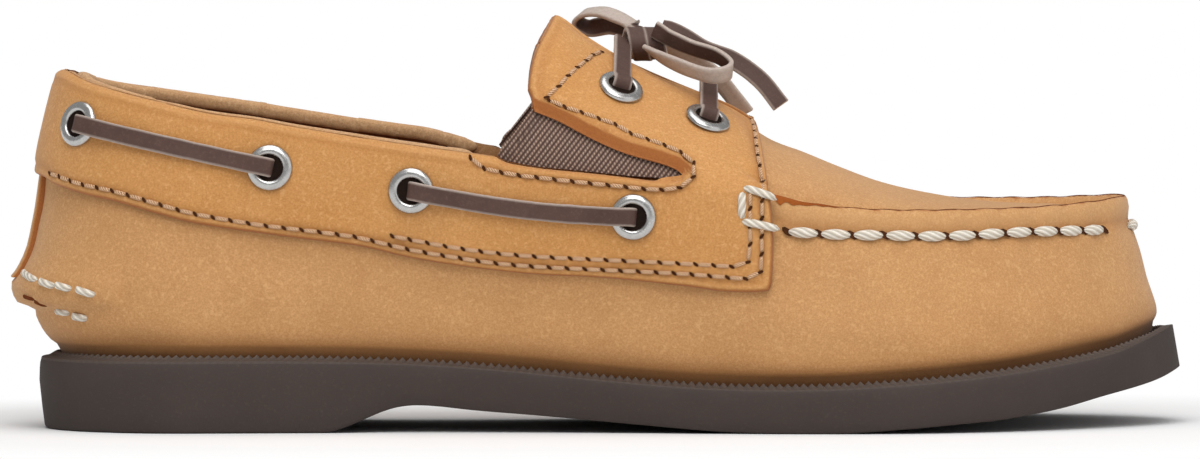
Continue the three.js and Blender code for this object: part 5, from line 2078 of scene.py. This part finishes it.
@dataclass
class Ribbon:
    """A flat strip of rawhide carried along a line."""

    width: float = 4.1
    thickness: float = 1.1

    def mesh(self, line: Array, grain: Array) -> tuple[Array, Array, dict[str, Array]]:
        """Corners and faces of the strip.

        Formula: at each point of the line a flat section with rounded edges, square to the line, its brown
        face towards grain.

        Args:
            line: points.
            grain: directions of the brown face.

        Returns:
            Corners, triangles and the mask flesh.
        """
        tangent = unit(np.gradient(line, axis=0))
        normal = unit(grain - (grain * tangent).sum(axis=1, keepdims=True) * tangent)
        across = np.cross(tangent, normal)
        w, h = self.width / 2, self.thickness / 2
        section = np.array([
            (w, -0.5 * h), (w, 0.4 * h), (w - 0.2, 0.9 * h), (w - 0.6, h), (0.4 * w, 0.93 * h),
            (0.0, 0.9 * h), (-0.4 * w, 0.93 * h), (-w + 0.6, h), (-w + 0.2, 0.9 * h), (-w, 0.4 * h),
            (-w, -0.5 * h), (-w + 0.2, -h), (-0.4 * w, -h), (0.4 * w, -h), (w - 0.2, -h),
        ])
        flesh = np.array([1, 1, 0.6, 0, 0, 0, 0, 0, 0.6, 1, 1, 1, 1, 1, 1], float)
        wave = 1 + 0.02 * (noise(line, 5.0, 41)[:, None] - 0.5)
        points = (line[:, None] + across[:, None] * (section[:, 0] * wave)[..., None]
                  + normal[:, None] * section[:, 1][None, :, None]).reshape(-1, 3)
        faces = facing_out(points, tube_faces(len(line), len(section)), np.repeat(line, len(section), axis=0))
        return points, faces, {"flesh": np.tile(flesh, len(line))}


@dataclass
class Lace:
    """The rawhide lace: side bars, instep bars, knot, two loops and two cut ends."""

    sizes: Sizes
    last: Last
    shop: Workshop
    hardware: Hardware
    ribbon: Ribbon = field(default_factory=Ribbon)

    def piece(self, name: str, line: Array, grain: Array, replaces: Sequence[str]) -> bpy.types.Object:
        """One strip as a piece."""
        points, faces, masks = self.ribbon.mesh(line, grain)
        return self.shop.piece(name, points, faces, RawhideFinish(), Slot.RAWHIDE, replaces, masks, sharp=60)

    def bow(self) -> None:
        """The knot, and the free cords that leave it, built along their routes.

        Formula: smooth lines through the routes; a loop's brown face looks to its middle, an end's outwards.
        """
        self.knot()
        for name, route in BOW_ROUTES.items():
            route = np.asarray(route, float)
            line = smooth_line(route, 0.5)
            looped = "loop" in name
            centre = route.mean(axis=0)
            toward = unit(centre - line) if looped else np.tile([0.05, -0.9, 0.35], (len(line), 1))
            if name == "lace_end_medial":
                toward = np.tile([0.1, 0.8, 0.5], (len(line), 1))
            twist = np.linspace(0, 1, len(line))[:, None]
            toward = unit(toward + np.array([0.0, 0.0, 0.5]) * np.exp(-(twist / 0.12) ** 2))
            piece = self.piece(f"{name}_strip", line, toward, [name])

    def knot(self) -> bpy.types.Object:
        """The knot: a short strip wound nearly twice round the bow's middle.

        Formula: a helix on an ellipse with the strip's face outwards.

        Returns:
            The piece.
        """
        centre, half = np.array(KNOT[0]), np.array(KNOT[1])
        angle = np.linspace(-0.4 * np.pi, 3.4 * np.pi, 110)
        out = np.stack([0 * angle, np.cos(angle), np.sin(angle)], axis=-1)
        drift = np.stack([np.linspace(-1.25, 1.0, len(angle)), 0 * angle, 0 * angle], axis=-1)
        line = centre + out * (half - 0.2) * np.array([0, 1, 1]) + drift * half[0]
        lift = 0.25 * np.sin(np.linspace(0, np.pi, len(angle)))[:, None]
        return self.piece("lace_knot_strip", line + out * lift, out, ["lace_knot"])

    def side_bar(self, first: int, second: int, side: Side, name: str, sag: float) -> bpy.types.Object:
        """A bar out of one eyelet, over the band and into the next.

        Formula: a smooth line through points over and under the leather at both eyelets.

        Args:
            first: eyelet that it leaves.
            second: eyelet that it enters.
            side: which side.
            name: the node that it stands for.
            sag: how far its middle hangs in the side view.

        Returns:
            The piece.
        """
        centres, normals = self.hardware.places(side)
        a, b, top = centres[first], centres[second], self.sizes.overlay_top
        share = np.linspace(0.09, 0.91, 9)
        view = (1 - share[:, None]) * a[[0, 2]] + share[:, None] * b[[0, 2]]
        view[:, 1] -= sag * np.sin(np.pi * share)
        lift = np.full(9, top + 1.0)
        lift[[0, -1]] = top + 1.9
        turn, level = self.last.locate(view, side, top + 1.0)
        middle = self.last.raised(turn, level, lift)
        face = self.last.sample(turn, level)[1]
        along, out_a, out_b = unit(b - a), normals[first], normals[second]
        starts = [a - 3.5 * out_a, a + 0.4 * out_a - 0.3 * along, a + 1.9 * out_a + 1.0 * along]
        ends = [b + 1.9 * out_b - 1.0 * along, b + 0.4 * out_b + 0.3 * along, b - 3.5 * out_b]
        grain = np.concatenate([[-along, -along, out_a - 0.6 * along], face,
                                [out_b + 0.6 * along, along, along]])
        knots = np.concatenate([starts, middle, ends])
        both = smooth_line(np.c_[knots, grain * 0.6], 0.5)
        return self.piece(f"{name}_strip", both[:, :3], both[:, 3:], [name])

    def instep_bar(self, index: int, name: str, rise: float) -> bpy.types.Object:
        """A bar out of an eyelet, up over both flaps and down into the one across.

        Formula: points of one section of the last at the eyelet's place along, lifted over the leather.

        Args:
            index: the eyelet.
            name: the node that it stands for.
            rise: how far its middle stands off both flaps.

        Returns:
            The piece.
        """
        top = self.sizes.overlay_top
        halves = []
        for side in Side:
            centres, normals = self.hardware.places(side)
            start, normal = centres[index], normals[index]
            level0 = float(self.last.locate(start[None, [0, 2]], side, top)[1][0])
            levels = np.linspace(level0, 3, 9)[1:]
            turns = side.value * np.linspace(0.35, 0.65, 200)
            turn = np.array([np.interp(start[0], self.last.raised(turns, np.full(200, v), top)[:, 0], turns)
                             for v in levels])
            points = self.last.raised(turn, levels, top + 1.1)
            face = self.last.sample(turn, levels)[1]
            points[:, 2] += rise * np.linspace(0, 1, 8) ** 1.5
            up = unit(points[1] - start)
            lead = np.array([start - 3.5 * normal, start + 0.4 * normal - 0.3 * up,
                             start + 2.0 * normal + 0.9 * up])
            lead_face = np.array([-up, -up, normal - 0.6 * up])
            halves.append((np.concatenate([lead, points]), np.concatenate([lead_face, face])))
        line = np.concatenate([halves[0][0], halves[1][0][::-1][1:]])
        grain = np.concatenate([halves[0][1], halves[1][1][::-1][1:]])
        both = smooth_line(np.c_[line, grain * 0.6], 0.5)
        return self.piece(f"{name}_strip", both[:, :3], both[:, 3:], [name])

    def bars(self) -> None:
        """All the bars."""
        for side in Side:
            low = side.name.lower()
            self.side_bar(0, 1, side, f"lace_bar_{low}_rear", 0.0)
            self.side_bar(2, 3, side, f"lace_bar_{low}_front", 1.2)
        self.instep_bar(5, "lace_bar_instep_rear", 1.2)
        self.instep_bar(4, "lace_bar_instep_front", 2.6)


@dataclass
class CollarRoll:
    """The padded roll inside the collar."""

    sizes: Sizes
    last: Last
    lines: Outlines
    shop: Workshop
    depth: float = 1.6
    thick: float = 1.5
    below: float = 1.0
    front: float = 66.0

    def build(self) -> bpy.types.Object:
        """Carries an oval section along the rim and closes it in rounded ends.

        Formula: at each turn the level whose distance below the rim is fixed; the oval shrinks as a quarter
        circle at both ends; fine creases run across.

        Returns:
            The piece.
        """
        turns = np.linspace(-0.44, 0.44, 700)
        levels = np.linspace(0.4, 2.6, 160)
        turn, level = np.meshgrid(turns, levels, indexing="ij")
        points = self.last.raised(turn, level)
        inside = self.lines.below_collar(points.reshape(-1, 3)).reshape(turn.shape)
        above = np.where((inside < 0.5).any(axis=1), np.argmax(inside < 0.5, axis=1), len(levels))
        level = np.array([np.interp(-self.below, -row[:stop], levels[:stop])
                          for row, stop in zip(inside, above)])
        centre = self.last.raised(turns, level, -self.sizes.leather_wall - 0.45 - self.thick)
        normal = self.last.sample(turns, level)[1]
        keep = centre[:, 0] < self.front
        centre, normal = centre[keep], normal[keep]
        tangent = unit(np.gradient(centre, axis=0))
        up = unit(np.cross(normal, tangent))
        up = up * np.sign(up[:, 2:3])
        length = arc_length(centre)
        end = np.minimum(length, length[-1] - length)
        size = np.sqrt(1 - np.clip(1 - end / 3.5, 0, 0.999) ** 2)
        sides = 28
        angle = angles(sides)
        out = np.sign(np.sin(angle)) * np.abs(np.sin(angle)) ** 0.8 * self.thick
        tall = np.sign(np.cos(angle)) * np.abs(np.cos(angle)) ** 0.9 * self.depth
        mesh = (centre[:, None] - normal[:, None] * (out[None] * size[:, None])[..., None]
                + up[:, None] * (tall[None] * size[:, None])[..., None])
        flat = mesh.reshape(-1, 3)
        crease = 0.1 * (noise(flat * np.array([1.6, 1.6, 0.5]), 4.0, 51) - 0.5)
        flat = flat + np.repeat(-normal, sides, axis=0) * crease[:, None]
        faces = facing_out(flat, tube_faces(len(centre), sides), np.repeat(centre, sides, axis=0))
        finish = NubuckFinish("collar_leather", "C4986B", "D9B48C", "94683F")
        # painted shade on the underside of the roll, fed into the burnish mask
        underside_shade = np.tile(np.exp(-((np.cos(angle) + 0.95) / 0.2) ** 2), len(centre))
        piece = self.shop.piece("collar_roll", flat, faces, finish, Slot.LINING, ["collar_pad"],
                                {"edge": np.zeros(len(flat)), "burnish_and_shade": underside_shade, "light": np.zeros(len(flat))})
        return piece


@dataclass
class Studio:
    """Camera, soft lights and pale floor."""

    target: tuple[float, float, float] = (92.9, -12.0, 43.4)
    distance: float = 4400.0
    elevation: float = 2.4
    focal: float = 604.4
    roll: float = 0.2

    def camera(self) -> None:
        """Places the camera at the photograph's angle."""
        data = bpy.data.cameras.new("camera")
        data.lens, data.sensor_width, data.clip_end = self.focal, 36.0, 50.0
        camera = bpy.data.objects.new("camera", data)
        bpy.context.scene.collection.objects.link(camera)
        rise = math.radians(self.elevation)
        back = Vector((0.0, -math.cos(rise), math.sin(rise)))
        camera.location = (Vector(self.target) + back * self.distance) * MM
        tilt = Matrix.Rotation(math.radians(90 - self.elevation), 3, "X")
        turn = tilt @ Matrix.Rotation(-math.radians(self.roll), 3, "Z")
        camera.rotation_euler = turn.to_euler()
        bpy.context.scene.camera = camera

    def light(self, name: str, place: tuple[float, float, float], size: float, power: float) -> None:
        """One square soft light aimed at the shoe.

        Args:
            name: the light's name.
            place: where, in millimetres.
            size: its side in millimetres.
            power: watts.
        """
        data = bpy.data.lights.new(name, "AREA")
        data.size, data.energy = size * MM, power
        lamp = bpy.data.objects.new(name, data)
        lamp.location = Vector(place) * MM
        lamp.rotation_euler = (Vector(self.target) * MM - lamp.location).to_track_quat("-Z", "Y").to_euler()
        bpy.context.scene.collection.objects.link(lamp)

    def floor(self) -> None:
        """The ground: pale paper near the shoe, shining white away from it."""
        mesh = bpy.data.meshes.new("floor")
        r = 6.0
        mesh.from_pydata([(-r, -r, 0), (r, -r, 0), (r, r, 0), (-r, r, 0)], [], [(0, 1, 2, 3)])
        material, tree, feed = new_material("floor_paper", (0.86, 0.86, 0.86), 0.9, specular=0.0)
        here = tree.place((1.0, 1.0, 1.0))
        x, y = tree.split(here)
        away = (((x - 0.093) / 0.17) ** 2.0 + (y / 0.105) ** 2.0 - 1.0).clamp()
        paper = tree.mix(tree.grain(here, 3.0), (0.85, 0.85, 0.85), (0.87, 0.87, 0.87))
        feed("Base Color", tree.mix(away, paper, (0.0, 0.0, 0.0)))
        feed("Emission Color", tree.mix(away, (0.0, 0.0, 0.0), (1.0, 1.0, 1.0)))
        material.node_tree.nodes["Principled BSDF"].inputs["Emission Strength"].default_value = 1.0
        mesh.materials.append(material)
        floor = bpy.data.objects.new("floor", mesh)
        bpy.context.scene.collection.objects.link(floor)

    def build(self) -> None:
        """Lights, floor and a white surround."""
        self.light("key", (100.0, -850.0, 1050.0), 900.0, 9.8)
        self.light("fill", (900.0, -600.0, 500.0), 900.0, 1.6)
        self.light("top", (60.0, -50.0, 1300.0), 1000.0, 5.6)
        self.floor()
        world = bpy.context.scene.world or bpy.data.worlds.new("surround")
        bpy.context.scene.world = world
        world.use_nodes = True
        background = world.node_tree.nodes["Background"]
        background.inputs[0].default_value = (1.0, 1.0, 1.0, 1.0)
        tree = Tree(world.node_tree)
        seen = tree.add("ShaderNodeLightPath", {}, {}, "Is Camera Ray")
        world.node_tree.links.new((seen * 0.6 + 0.4).socket, background.inputs[1])
        bpy.context.scene.view_settings.view_transform = "Standard"


def main() -> None:
    """Builds the shoe's pieces in order: camera and cords first, then sole, leather, webbing and seams."""
    logging.basicConfig(level=logging.INFO, format="%(name)s %(message)s")
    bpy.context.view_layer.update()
    sizes, shop, studio = Sizes(), Workshop(), Studio()
    last = Last(sizes)
    studio.camera()
    hardware = Hardware(sizes, last, shop)
    lace = Lace(sizes, last, shop, hardware)
    lace.bow()
    lines = Outlines(last)
    Outsole(sizes, last, shop).build()
    uppers = Uppers(sizes, last, lines, shop)
    uppers.build()
    Gores(sizes, last, lines, shop).build()
    CollarRoll(sizes, last, lines, shop).build()
    hardware.build()
    lace.bars()
    Sewing(sizes, last, shop, uppers.nub, uppers.relief).build()
    studio.build()


if __name__ == "__main__":
    main()
